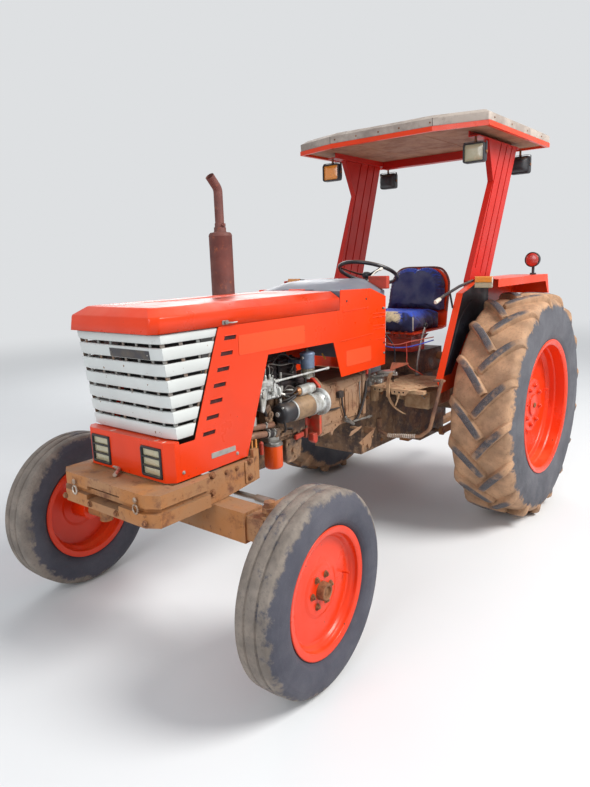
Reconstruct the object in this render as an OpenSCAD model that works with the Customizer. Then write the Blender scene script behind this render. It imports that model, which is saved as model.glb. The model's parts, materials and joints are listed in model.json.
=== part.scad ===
// Vintage two-wheel-drive farm tractor with a roll bar, a canopy and front ballast.
// The front faces -Y and the tractor's left side is +X. Heights are above the ground.
// Inside the modules Y is counted from the rear axle, and placed() moves all to the origin.

/* [Stance] */
// Distance between the front and rear axles
wheelbase = 2440; // [2360:10:2560]
// Distance between the middles of the front tyres
front_track = 1704; // [1690:2:1800]
// Distance between the middles of the rear tyres
rear_track = 1740; // [1730:2:1860]

/* [Front wheels] */
// Outer diameter of a front tyre
front_tyre_d = 890; // [870:2:910]
// Width of a front tyre
front_tyre_w = 205; // [196:1:214]
// Diameter of a front rim over its flanges
front_rim_d = 572; // [560:2:584]
// Width of a front rim over its flanges
front_rim_w = 160; // [150:1:170]
// Angle to which the front wheels are turned in the parked pose
steer_rest = 3.8; // [0:0.1:6]
// Distance of a kingpin from the middle
kingpin_x = 630; // [620:1:640]
// Radius of a kingpin
kingpin_r = 20; // [16:0.5:24]
// Length of a steering arm from the kingpin to its ball
steer_arm = 180; // [160:1:200]

/* [Rear wheels] */
// Outer diameter of a rear tyre over its lugs
rear_tyre_d = 1570; // [1540:2:1590]
// Width of a rear tyre
rear_tyre_w = 430; // [410:2:440]
// Height of the lugs on a rear tyre
lug_h = 38; // [30:1:44]
// Number of lugs on each half of a rear tyre
lug_count = 17; // [15:1:19]
// Diameter of a rear rim over its flanges
rear_rim_d = 932; // [910:2:950]
// Width of a rear rim over its flanges
rear_rim_w = 396; // [370:2:400]
// Radius of a rear axle stub in its hub
rear_stub_r = 45; // [38:1:50]

/* [Bonnet] */
// Half the width over the side panels
hood_half = 310; // [300:1:320]
// Height of the top of the lid
hood_top = 1650; // [1630:1:1670]
// Height of the seam between the lid and the side panels
seam_z = 1543; // [1530:1:1550]
// Distance from the front axle forward to the front of the lid
nose_reach = 305; // [290:1:320]
// Length of the lid
lid_len = 1330; // [1280:5:1360]
// Thickness of the panels
sheet = 4; // [3:0.5:5]
// Slope of the grille's front over its height
grille_rake = 55; // [40:1:65]
// Number of slats in the grille
slat_count = 7; // [5:1:7]
// Distance from one slat to the next
slat_pitch = 70.3; // [66:0.1:71]
// Height of the dark gap between two slats
slat_gap = 15; // [12:1:22]
// Side of a headlamp's square frame
lamp_side = 142; // [130:1:150]

/* [Chassis] */
// Height of the bottom of the front side rails
rail_z0 = 735; // [732:1:742]
// Height of the front side rails
rail_h = 145; // [130:1:150]
// Thickness of the front side rails
rail_t = 26; // [18:1:30]
// Height of the front axle beam's cross-section
beam_h = 145; // [130:1:148]
// Depth of the front axle beam's cross-section
beam_d = 120; // [100:1:130]
// Half the width of the engine block
engine_half = 170; // [150:1:190]
// Distance from the front axle back to the front face of the engine
engine_set = 270; // [260:1:280]
// Length of the engine block
engine_len = 620; // [600:5:640]
// Half the width of the gearbox
gearbox_half = 190; // [180:1:200]

/* [Cab] */
// Distance from the rear axle forward to the rear edge of the bonnet's side panels
cab_front = 900; // [880:1:920]
// Height of the platform's tread
platform_z = 1010; // [1000:1:1020]
// Gap between a rear tyre and the inner wall of its fender
fender_gap = 51; // [45:1:60]
// Width of a fender from its inner wall to its outer edge
fender_w = 272; // [260:1:280]
// Height of the fenders' tops above the rear tyres
fender_rise = 106; // [96:1:116]
// Diameter of the steering wheel
wheel_d = 430; // [400:2:440]
// Angle by which the steering wheel leans back
wheel_lean = 22.3; // [15:0.1:30]
// Thickness of a roll bar post
post_t = 40; // [34:1:46]
// Angle by which the roll bar posts splay
post_splay = 2.1; // [1:0.1:3]
// Height of the underside of the canopy
canopy_z = 2615; // [2590:1:2640]
// Height of the canopy's red rim
canopy_rim_h = 30; // [26:1:36]
// Half the width of the canopy
canopy_half = 745; // [730:1:760]

/* [Hitch] */
// Length of the lift arms between their pivots
lift_arm_len = 330; // [320:1:340]
// Length of the lower links between their pivots
lower_link_len = 870; // [840:2:900]
// Angle to which the hitch is raised in the parked pose
hitch_rest = 8; // [4:0.5:12]
// Radius of the pins of the lift linkage
link_pin_r = 14; // [12:0.5:16]

/* [Hidden] */

$fn = 48;
// Gap of a shaft in its bore, gap between pieces that seat, gap between pieces that move
fit = 0.05;
seat = 0.3;
tiny = 0.01;

// Stations along the tractor, counted from the rear axle
y_axle = -wheelbase;
y_nose = y_axle - nose_reach;
y_lid_rear = y_nose + lid_len;
y_cab = -cab_front;
y_engine = y_axle + engine_set;
y_bell = y_engine + engine_len;
y_ballast = y_axle - 420;
link_y = 60;
y_hitch_end = link_y + lower_link_len * cos(hitch_rest) + 32;
tread_half = front_tyre_w / 2 - 34;
crown_drop = 4;
y_front = y_axle - (front_track / 2 - kingpin_x + tread_half) * sin(steer_rest)
    - (front_tyre_d / 2 - crown_drop) * cos(steer_rest);
y_mid = -(y_front + y_hitch_end) / 2;

// Heights
front_z = front_tyre_d / 2;
rear_z = rear_tyre_d / 2;
beam_z1 = rail_z0 - tiny;
beam_z0 = beam_z1 - beam_h;
rail_z1 = rail_z0 + rail_h;
rod_z = 700;
arm_z = beam_z1 + 14;
case_z0 = 850;
case_z1 = 1120;
lift_top = 1130;

// Places of the fenders and posts beside the rear tyres
fender_x = rear_track / 2 - rear_tyre_w / 2 - fender_gap - sheet;
fender_out = fender_x + fender_w;
fender_top = rear_tyre_d + fender_rise;
post_x = fender_x - 58 - post_t;

// Colours
red = [0.86, 0.13, 0.05];
post_red = [0.52, 0.04, 0.06];
tan_paint = [0.45, 0.29, 0.16];
white = [0.9, 0.9, 0.88];
black = [0.06, 0.06, 0.06];
tyre_grey = [0.17, 0.165, 0.16];
steel = [0.6, 0.6, 0.6];
rust = [0.28, 0.12, 0.08];

// Moves the children from the rear axle's frame to the part's own frame
module placed() {
    translate([0, y_mid, 0])
        children();
}

// The children and their mirror image on the tractor's right
module both() {
    children();
    mirror([1, 0, 0])
        children();
}

// An outline in Y and Z, thick from x0 to x1
module across(x0, x1) {
    translate([x0, 0, 0])
        rotate([90, 0, 90])
            linear_extrude(x1 - x0)
                children();
}

// An outline in X and Z, long from y0 to y1
module lengthways(y0, y1) {
    translate([0, y1, 0])
        rotate([90, 0, 0])
            linear_extrude(y1 - y0)
                children();
}

// An outline in X and Y, high from z0 to z1
module upright(z0, z1) {
    translate([0, 0, z0])
        linear_extrude(z1 - z0)
            children();
}

// A box from its lowest to its highest corner
module block(x0, x1, y0, y1, z0, z1) {
    translate([x0, y0, z0])
        cube([x1 - x0, y1 - y0, z1 - z0]);
}

// A round bar from point a to point b
module bar(a, b, r) {
    v = b - a;
    translate(a)
        rotate([0, acos(v.z / norm(v)), atan2(v.y, v.x)])
            cylinder(r = r, h = norm(v));
}

// A round bar along X through the point y, z
module bar_x(x0, x1, y, z, r) {
    translate([x0, y, z])
        rotate([0, 90, 0])
            cylinder(r = r, h = x1 - x0);
}

// A bent tube: rings of points swept along a route whose corners are rounded to bend_r
tube_sides = 12;
bend_steps = 5;
function unit(v) = v / norm(v);
function heading(points, i) = unit(points[i + 1] - points[i]);
function corner_arc(p, d1, d2, bend_r) =
    let (angle = acos(d1 * d2),
        axis = unit(cross(d1, d2)),
        inward = cross(axis, d1),
        centre = p - d1 * bend_r * tan(angle / 2) + inward * bend_r)
    [for (k = [0 : bend_steps])
        centre - inward * bend_r * cos(angle * k / bend_steps) + d1 * bend_r * sin(angle * k / bend_steps)];
function rounded(points, bend_r) =
    concat([points[0]],
        [for (i = [1 : 1 : len(points) - 2])
            each corner_arc(points[i], heading(points, i - 1), heading(points, i), bend_r)],
        [points[len(points) - 1]]);
function tangent(path, i) =
    unit(path[min(i + 1, len(path) - 1)] - path[max(i - 1, 0)]);
function ring(c, d, r, side) =
    let (a = unit(side - d * (side * d)), b = cross(d, a))
    [for (k = [0 : tube_sides - 1])
        c + a * r * cos(360 * k / tube_sides) + b * r * sin(360 * k / tube_sides)];
module tube_run(points, r, bend_r, side) {
    path = rounded(points, bend_r);
    last = len(path) - 1;
    polyhedron(
        points = [for (i = [0 : last]) each ring(path[i], tangent(path, i), r, side)],
        faces = concat(
            [[for (k = [0 : tube_sides - 1]) k]],
            [for (i = [0 : last - 1], k = [0 : tube_sides - 1])
                [i * tube_sides + k, (i + 1) * tube_sides + k,
                    (i + 1) * tube_sides + (k + 1) % tube_sides, i * tube_sides + (k + 1) % tube_sides]],
            [[for (k = [tube_sides - 1 : -1 : 0]) last * tube_sides + k]]),
        convexity = 4);
}

// A solid of revolution about X from an outline of [x, radius]
module turned_x(outline) {
    rotate([0, 90, 0])
        rotate_extrude()
            polygon([for (p = outline) [p[1], p[0]]]);
}

// Front ballast of two stacked plates with a dark slot between them
ballast_z = [rail_z0 + 2, rail_z0 + 62, rail_z0 + 86, rail_z1];
ballast_rear = y_axle - 90;
module ballast_outline(front, half) {
    polygon([[-half + 60, front], [half - 60, front], [half, front + 38], [half, ballast_rear],
        [-half, ballast_rear], [-half, front + 38]]);
}
module front_ballast() {
    color(tan_paint)
        placed() {
            difference() {
                upright(ballast_z[0], ballast_z[1])
                    ballast_outline(y_ballast, 355);
                block(-125, 116, y_ballast - 1, y_ballast + 60, ballast_z[1] - 22, ballast_z[1] + 1);
                frame_pocket(ballast_z[0] - 1);
            }
            difference() {
                upright(ballast_z[1], ballast_z[2])
                    ballast_outline(y_ballast + 26, 335);
                frame_pocket(ballast_z[1] - 1);
            }
            difference() {
                upright(ballast_z[2], ballast_z[3])
                    ballast_outline(y_ballast + 8, 355);
                block(-125, 116, y_ballast - 1, y_ballast + 60, ballast_z[2] - 1, ballast_z[2] + 18);
                frame_pocket(ballast_z[2] - 1);
            }
        }
}

// Room in the ballast for the front ends of the frame rails
rail_out = 330;
y_rail_front = y_nose + 20;
module frame_pocket(z) {
    block(-rail_out - seat, rail_out + seat, y_rail_front - seat, ballast_rear + 1, z, rail_z1 + 1);
}

// Front side rails with their cross-plates and the lugs of the axle's pivot
y_rail_rear = y_engine - seat;
y_panel_rear = y_nose + 517;
pivot_r = 24;
module front_frame() {
    color(tan_paint)
        placed() {
            both()
                across(rail_out - rail_t, rail_out)
                    polygon([[y_rail_front, rail_z0 + 2], [y_axle, rail_z0 + 2], [y_axle + 110, rail_z0 + 12],
                        [y_rail_rear, rail_z0 + 30], [y_rail_rear, rail_z1 + 40], [y_panel_rear + 20, rail_z1 + 40],
                        [y_panel_rear + 20, rail_z1], [y_rail_front, rail_z1]]);
            block(-rail_out + rail_t, rail_out - rail_t, y_rail_front, y_rail_front + 20, rail_z0 + 2, rail_z1);
            block(-rail_out + rail_t, rail_out - rail_t, y_rail_rear - 18, y_rail_rear, rail_z0 + 30, 868);
            for (side = [-1, 1])
                pivot_lug(y_axle + side * (beam_d / 2 + 12) - 10);
        }
}
module pivot_lug(y) {
    difference() {
        block(-rail_out + rail_t, rail_out - rail_t, y, y + 20, beam_z0 + 20, rail_z0 + 60);
        translate([0, y - 1, beam_z0 + beam_h / 2])
            rotate([-90, 0, 0])
                cylinder(r = pivot_r, h = 22);
        for (side = [-1, 1])
            block(side * 230 - 150, side * 230 + 150, y - 1, y + 21, beam_z0 + 19, rail_z0 + 2);
    }
}

// Front axle beam with its pivot pin, its sleeves and the kingpin bosses
boss_r = 42;
module front_axle() {
    color(tan_paint)
        placed() {
            difference() {
                union() {
                    block(-530, 530, y_axle - beam_d / 2, y_axle + beam_d / 2, beam_z0, beam_z1);
                    block(-kingpin_x, kingpin_x, y_axle - beam_d / 2 + 12, y_axle + beam_d / 2 - 12,
                        beam_z0 + 14, beam_z1 - 14);
                    for (side = [-1, 1])
                        translate([side * kingpin_x, y_axle, beam_z0])
                            cylinder(r = boss_r, h = beam_h);
                }
                for (side = [-1, 1])
                    translate([side * kingpin_x, y_axle, beam_z0 - 1])
                        cylinder(r = kingpin_r + fit, h = beam_h + 2);
            }
            for (side = [0, 1])
                mirror_y(side, y_axle)
                    translate([0, y_axle + beam_d / 2, beam_z0 + beam_h / 2])
                        rotate([-90, 0, 0])
                            cylinder(r = pivot_r, h = 24);
        }
}
module mirror_y(on, y) {
    translate([0, y, 0])
        mirror([0, on, 0])
            translate([0, -y, 0])
                children();
}

// Engine as one block with its heads, sump, timing case and cooling ribs
head_z = 1290;
head_right = 110;
head_left = 130;
sump_z = 700;
module engine_block() {
    color(tan_paint)
        placed() {
            block(-engine_half, engine_half, y_engine, y_bell - seat, case_z0, head_z - 120);
            block(-engine_half + 30, engine_half - 30, y_engine + 30, y_bell - 60, sump_z, case_z0);
            for (i = [0 : 2])
                block(-head_right, head_left, y_engine + 70 + i * 175, y_engine + 225 + i * 175, head_z - 120, head_z);
            block(-60, 80, y_engine + 80, y_bell - 60, head_z, head_z + 55);
            translate([0, y_engine, case_z0 + 110])
                rotate([90, 0, 0])
                    cylinder(r = 85, h = 40);
            for (i = [0 : 5])
                block(engine_half, engine_half + 14, y_engine + 40 + i * 92, y_engine + 58 + i * 92, case_z0,
                    head_z - 140);
            block(engine_half, engine_half + 14, y_engine, y_bell - 335, 1000, 1022);
            for (i = [0 : 1])
                tube_run([[engine_half - 10, y_engine + 45, 1040 - i * 55], [engine_half + 70, y_engine + 45, 1040 - i * 55],
                    [engine_half + 90, y_engine + 220, 950 + i * 30], [engine_half - 10, y_engine + 260, 950 + i * 30]],
                    16, 30, [0, 0, 1]);
        }
}

// Starter motor along the engine's left side, with its end cap and solenoid
starter_x = engine_half + 88;
starter_z = 1032;
module bar_y(x, y0, y1, z, r) {
    translate([x, y0, z])
        rotate([-90, 0, 0])
            cylinder(r = r, h = y1 - y0);
}
module starter_motor() {
    color(tan_paint)
        placed() {
            bar_y(starter_x, y_bell - 325, y_bell - 205, starter_z, 58);
            bar_y(starter_x, y_bell - 205, y_bell - 50, starter_z, 64);
            bar_y(starter_x, y_bell - 50, y_bell - 18, starter_z, 52);
            bar_y(starter_x, y_bell - 18, y_bell - seat, starter_z, 80);
            bar_y(starter_x - 10, y_bell - 190, y_bell - 60, starter_z + 90, 32);
            bar_y(starter_x - 10, y_bell - 210, y_bell - 190, starter_z + 90, 18);
            block(starter_x - 24, starter_x + 4, y_bell - 170, y_bell - 80, starter_z + 50, starter_z + 90);
        }
}

// Injection pump with its drive case, its injector lines and the throttle rod
pump_z = head_z - 170;
module injection_pump() {
    color(steel)
        placed() {
            block(engine_half + 14 + seat, engine_half + 80, y_engine + 130, y_engine + 262, pump_z, pump_z + 70);
            block(engine_half + 30, engine_half + 70, y_engine + 142, y_engine + 250, pump_z + 70, pump_z + 105);
            bar_y(engine_half + 48, y_engine + 75, y_engine + 130, pump_z + 38, 36);
            block(engine_half + 80, engine_half + 94, y_engine + 178, y_engine + 206, pump_z - 50, pump_z + 50);
            block(engine_half + 94, engine_half + 126, y_engine + 184, y_engine + 200, pump_z + 30, pump_z + 46);
            block(engine_half + 112, engine_half + 126, y_engine + 184, y_engine + 200, pump_z + 46, pump_z + 116);
            for (i = [0 : 2])
                translate([engine_half + 50, y_engine + 162 + i * 34, pump_z + 105])
                    cylinder(r = 9, h = 24);
            bar([engine_half + 119, y_engine + 190, pump_z + 106], [engine_half + 119, y_bell + 40, pump_z + 140], 6);
        }
}

// Fuel filter with its bowl on the engine's head, and the oil filter low on its left side
filter_z = 1172;
module fuel_filters() {
    color("darkorange")
        placed() {
            translate([engine_half + 74, y_engine + 213, 735])
                cylinder(r = 50, h = 150);
            block(engine_half + 14 + seat, engine_half + 84, y_engine + 171, y_engine + 255, case_z0 + 35,
                case_z0 + 75);
            translate([starter_x - 16, y_bell - 90, filter_z])
                cylinder(r = 30, h = 60);
            translate([starter_x - 16, y_bell - 90, filter_z + 60])
                cylinder(r = 40, h = 95);
            block(head_left + seat, starter_x - 16, y_bell - 130, y_bell - 50, filter_z + 90, filter_z + 115);
        }
}

// Radiator core in its frame, which also carries the side panels
y_radiator = y_axle - 40;
module radiator() {
    color(black)
        placed() {
            difference() {
                block(-grille_half + sheet + seat, grille_half - sheet - seat, y_radiator, y_radiator + 90,
                    rail_z1 + 12, seam_z - 12);
                block(-hood_half + 40, hood_half - 40, y_radiator - 1, y_radiator + 20, rail_z1 + 70, seam_z - 70);
            }
            both() {
                block(grille_half - 20, hood_half - sheet - seat, y_radiator, y_radiator + 60, rail_z1 + seat, rail_z1 + 13);
                block(grille_half - 40, hood_half - sheet - seat, y_radiator + 20, y_radiator + 90, nose_z0 + 60, nose_z0 + 160);
            }
        }
}

// Exhaust with its elbow, muffler and curved tail pipe on the right side
exhaust_x = -420;
exhaust_y = y_engine + 562;
muffler_z = [1600, 2010];
module exhaust() {
    color(rust)
        placed() {
            tube_run([[-130, exhaust_y, head_z - 50], [exhaust_x, exhaust_y, head_z - 50],
                [exhaust_x, exhaust_y, 2262], [exhaust_x, exhaust_y - 62, 2330]], 27, 60, [0, 1, 0]);
            block(-165, -head_right - seat, y_engine + 90, y_engine + 590, head_z - 85, head_z - 20);
            translate([exhaust_x, exhaust_y, muffler_z[0]])
                cylinder(r = 70, h = muffler_z[1] - muffler_z[0]);
            translate([exhaust_x, exhaust_y, muffler_z[1]])
                cylinder(r = 36, h = 30);
        }
}

// Clutch housing between the engine and the gearbox
y_gearbox = -1020;
module clutch_housing() {
    color(tan_paint)
        placed() {
            block(-250, 250, y_bell, y_bell + 40, case_z0 - 30, case_z1 + 40);
            block(-220, 220, y_bell + 40, y_gearbox, case_z0, case_z1);
            for (i = [0 : 3])
                block(220, 225, y_bell + 120 + i * 100, y_bell + 136 + i * 100, case_z0, case_z1 - 20);
        }
}

// Gearbox with the lift housing on its rear end
rock_y = 180;
rock_z = 1060;
link_z = 480;
shaft_r = 30;
module gearbox() {
    color(tan_paint)
        placed() {
            difference() {
                union() {
                    block(-gearbox_half, gearbox_half, y_gearbox, 250, 560, 960);
                    block(-gearbox_half + 20, gearbox_half - 20, -150, 250, 440, 560);
                    block(-150, 150, -200, 240, 960, lift_top);
                }
                bar_x(-151, 151, rock_y, rock_z, shaft_r + fit);
            }
            both()
                bar_x(gearbox_half - 20, 262 + 10, link_y, link_z, link_pin_r);
            translate([0, 250, 640])
                rotate([-90, 0, 0])
                    cylinder(r = 17.45, h = 80);
        }
}

// Rear axle housings with the stubs that carry the wheels
trumpet_end = fender_x - 8;
hub_in = rear_track / 2 - 200;
post_foot = rear_z + 135;
module rear_axle() {
    color(tan_paint)
        placed()
            both() {
                bar_x(gearbox_half, trumpet_end, 0, rear_z, 95);
                bar_x(trumpet_end - 60, trumpet_end, 0, rear_z, 125);
                bar_x(trumpet_end, rear_track / 2 + 60, 0, rear_z, rear_stub_r);
                block(post_x - 20, trumpet_end, -100, 100, rear_z, post_foot - seat);
            }
}

// Grille shell: an outline that leans back towards its bottom, with rows of slots
grille_z0 = 1076;
grille_z1 = seam_z - 3;
grille_half = hood_half - 8;
grille_set = 20;
corner_x = 62;
corner_y = 14;
y_seam_top = y_nose + 365;
y_seam_bottom = y_nose + 180;
module grille_layer(inset, z, back) {
    front = y_nose + grille_set + inset + grille_rake * (grille_z1 - z) / (grille_z1 - grille_z0);
    half = grille_half - inset;
    translate([0, 0, z])
        linear_extrude(tiny)
            polygon([[-half + corner_x, front], [half - corner_x, front], [half, front + corner_y], [half, back],
                [-half, back], [-half, front + corner_y]]);
}
module grille_form(inset, back_extra) {
    hull() {
        grille_layer(inset, grille_z0, y_seam_bottom + back_extra);
        grille_layer(inset, grille_z1 - tiny, y_seam_top + back_extra);
    }
}
module grille() {
    color(white)
        placed()
            difference() {
                grille_form(0, 0);
                grille_form(sheet, 2);
                for (i = [1 : slat_count - 1])
                    slat_row(i, grille_z0 + 2 + i * slat_pitch - slat_gap, grille_z0 + 2 + i * slat_pitch);
            }
}

// One row of dark slots between two slats, with the spacers that are left standing in it
spacer_w = 14;
fold_x = grille_half - corner_x - spacer_w / 2;
front_spacers = [-fold_x, -fold_x * 0.6, -fold_x * 0.2, fold_x * 0.2, fold_x * 0.6, fold_x];
side_spacers = [[2, 24], [104, 124], [204, 224]];
module slat_row(i, z0, z1) {
    front = y_nose + grille_set + grille_rake * (grille_z1 - z0) / (grille_z1 - grille_z0);
    side = front + corner_y;
    back = y_seam_top - 30 - 25 * (slat_count - i);
    difference() {
        block(-hood_half - 1, hood_half + 1, y_nose, back, z0, z1);
        for (x = front_spacers)
            block(x - spacer_w / 2, x + spacer_w / 2, y_nose - 1, front + sheet + 6, z0 - 1, z1 + 1);
        for (k = side_spacers)
            if (side + k[1] < back - 8)
                block(-hood_half - 2, hood_half + 2, side + k[0], side + k[1], z0 - 1, z1 + 1);
    }
}

// Nose panel below the grille, with the two square lamp openings
nose_z0 = rail_z1 + 8;
nose_z1 = grille_z0 - 6;
lamp_x = 187;
lamp_z = 972;
y_face = y_nose + 30;
nose_corner = 40;
module nose_panel() {
    color(red)
        placed()
            difference() {
                upright(nose_z0, nose_z1)
                    polygon([[-hood_half + nose_corner, y_face], [hood_half - nose_corner, y_face],
                        [hood_half, y_face + 32], [hood_half, y_face + 60], [-hood_half, y_face + 60],
                        [-hood_half, y_face + 32]]);
                upright(nose_z0 - 1, nose_z1 - sheet)
                    polygon([[-hood_half + nose_corner + 2, y_face + sheet], [hood_half - nose_corner - 2, y_face + sheet],
                        [hood_half - sheet, y_face + 34], [hood_half - sheet, y_face + 61],
                        [-hood_half + sheet, y_face + 61], [-hood_half + sheet, y_face + 34]]);
                for (side = [-1, 1])
                    block(side * lamp_x - lamp_side / 2, side * lamp_x + lamp_side / 2, y_face - 1, y_face + 10,
                        lamp_z - lamp_side / 2, lamp_z + lamp_side / 2);
            }
}

// Square headlamps with their guard bars
module headlamps() {
    half = lamp_side / 2 - seat;
    color(black)
        placed()
            for (side = [-1, 1])
                difference() {
                    block(side * lamp_x - half, side * lamp_x + half, y_face - 8, y_face + 50, lamp_z - half,
                        lamp_z + half);
                    for (i = [-1 : 1])
                        block(side * lamp_x - half + 10, side * lamp_x + half - 10, y_face - 9, y_face + 2,
                            lamp_z + i * 42 - 18, lamp_z + i * 42 + 18);
                }
}

// Side panels with a row of louvre slots and the opening over the engine
module side_panel_outline() {
    polygon([[y_seam_top + 2, seam_z - seat], [y_seam_bottom + 2, grille_z0 - 20],
        [y_face + 60 + seat, grille_z0 - 20], [y_face + 60 + seat, nose_z0], [y_panel_rear, nose_z0 + 4], [y_nose + 700, 1372], [y_lid_rear - 64, 1366],
        [y_lid_rear + 10, 1154], [y_cab - 12, 1160], [y_cab, 1593], [y_cab - 180, 1650],
        [y_lid_rear + 14, 1656], [y_lid_rear + 2, seam_z - seat]]);
}
module side_panels() {
    color(red)
        placed()
            both()
                difference() {
                    across(hood_half - sheet, hood_half)
                        side_panel_outline();
                    for (i = [0 : 6])
                        across(hood_half - sheet - 1, hood_half + 1)
                            translate([y_nose + 397 - i * 28, 1477 - i * 70])
                                polygon([[0, 0], [78, 0], [85, 20], [7, 20]]);
                }
}

// Grey cowl over the instruments, and the wall behind the engine
module dash_cowl() {
    color([0.33, 0.34, 0.37])
        placed() {
            difference() {
                across(-hood_half + sheet + seat, hood_half - sheet - seat)
                    polygon([[y_lid_rear + 22, seam_z + 17], [y_lid_rear + 22, hood_top],
                        [y_lid_rear + 90, hood_top + 62], [y_cab - 172, hood_top + 50], [y_cab - 2, hood_top - 50],
                        [y_cab - 2, case_z1 + 60], [y_cab - 30, case_z1 + 60], [y_cab - 30, seam_z + 17]]);
            }
            for (side = [-1, 1])
                hinge_leaf(side * 90 - 28, side * 90 + 28, y_lid_rear + 22);
            bar_x(-118, 118, hinge_y, hinge_z, hinge_pin_r);
        }
}

// Knuckles of the lid's hinge: a round eye and the leaf that joins it to a panel's edge
hinge_y = y_lid_rear + 9;
hinge_z = hood_top + 4;
hinge_r = 8;
hinge_pin_r = 4;
module hinge_leaf(x0, x1, edge_y) {
    bar_x(x0, x1, hinge_y, hinge_z, hinge_r);
    block(x0, x1, min(hinge_y, edge_y - 6), max(hinge_y, edge_y + 6), hood_top - 4, hood_top);
}

// Steering column from the clutch housing up to the wheel
wheel_c = [0, -612, 1733];
wheel_n = [0, sin(wheel_lean), cos(wheel_lean)];
module steering_column() {
    color(black)
        placed() {
            block(-60, 60, -1000, -860, 960, 1030);
            bar(wheel_c - wheel_n * 800, wheel_c - wheel_n * 120, 26);
            bar(wheel_c - wheel_n * 120, wheel_c - wheel_n * 24, 11);
        }
}

// Platform plates on both sides of the gearbox, with turned-down edges, and the closed box below the left one
y_platform = -1240;
side_box_w = 110;
side_box_z = [690, 880];
module platform() {
    color(tan_paint)
        placed() {
            block(gearbox_half + seat, gearbox_half + side_box_w, -660, -270, side_box_z[0], side_box_z[1]);
            block(gearbox_half + seat, gearbox_half + side_box_w + 8, -668, -262, side_box_z[1], side_box_z[1] + 10);
            both() {
                block(gearbox_half + 36, fender_x - seat, y_platform, -420, platform_z - 6, platform_z);
                block(fender_x - 6, fender_x - seat, y_platform, -420, platform_z - 60, platform_z - 6);
                block(gearbox_half + 36, fender_x - 6, y_platform, y_platform + 6, platform_z - 60, platform_z - 6);
                for (y = [y_platform + 240, -520])
                    block(gearbox_half + seat, gearbox_half + 60, y, y + 60, platform_z - 110, platform_z - 6);
            }
        }
}

// Stirrup steps of bent tube below the platform
module steps() {
    color(rust)
        placed()
            both()
                tube_run([[gearbox_half + seat, -800, 690], [gearbox_half + 34, -800, 690],
                    [gearbox_half + 66, -800, 655], [470, -800, 665], [fender_x - 30, -800, 745],
                    [fender_x - 30, -800, platform_z - 6 - seat]], 13, 26, [0, 1, 0]);
}

// Fenders: inner wall, cover and outer flange over the inner half of each rear tyre
fender_front = [[-772, 1063], [-496, fender_top - 87]];
fender_rear = [[490, fender_top], [540, fender_top - 140]];
cover_front = -211;
flange_w = 45;
module fender_strip(a, b, t) {
    v = b - a;
    n = [v.y, -v.x] / norm(v) * t;
    polygon([a, b, b + n, a + n]);
}
module fenders() {
    color(red)
        placed()
            both() {
                across(fender_x, fender_x + sheet)
                    polygon([fender_front[0], fender_front[1], [cover_front, fender_top - 7], [0, fender_top],
                        fender_rear[0], fender_rear[1], [540, 1100], [300, platform_z], [-700, platform_z - 50]]);
                across(fender_x + sheet, fender_x + flange_w)
                    fender_strip(fender_front[0], fender_front[1], sheet);
                across(fender_x + sheet, fender_x + flange_w)
                    fender_strip(fender_front[1], [cover_front, fender_top - 7], sheet);
                upright(fender_top - sheet, fender_top)
                    polygon([[fender_x + sheet, cover_front - 20], [fender_out, -475], [fender_out, 490],
                        [fender_x + sheet, 490]]);
                across(fender_out - sheet, fender_out)
                    polygon([[-475, fender_top - 50], [-475, fender_top], [490, fender_top], [540, fender_top - 140],
                        [510, fender_top - 140], [450, fender_top - 50]]);
                across(fender_x + sheet, fender_out)
                    fender_strip(fender_rear[0], fender_rear[1], sheet);
            }
}

// Turn lamps at the front corners and the round work lamp at the rear
lamp_post = [800, 380];
module fender_lamps() {
    color("orange")
        placed() {
            both() {
                block(fender_out - 157, fender_out - 42, -482, -442, fender_top - 54, fender_top + 18);
                block(fender_out - 120, fender_out - 80, -450, -360, fender_top + seat, fender_top + 10);
            }
            translate([lamp_post[0], lamp_post[1], fender_top + seat])
                cylinder(r = 10, h = 62);
            bar_y(lamp_post[0], lamp_post[1] - 34, lamp_post[1] + 30, fender_top + 108, 54);
            bar_y(lamp_post[0], lamp_post[1] + 30, lamp_post[1] + 48, fender_top + 108, 30);
        }
}

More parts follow.
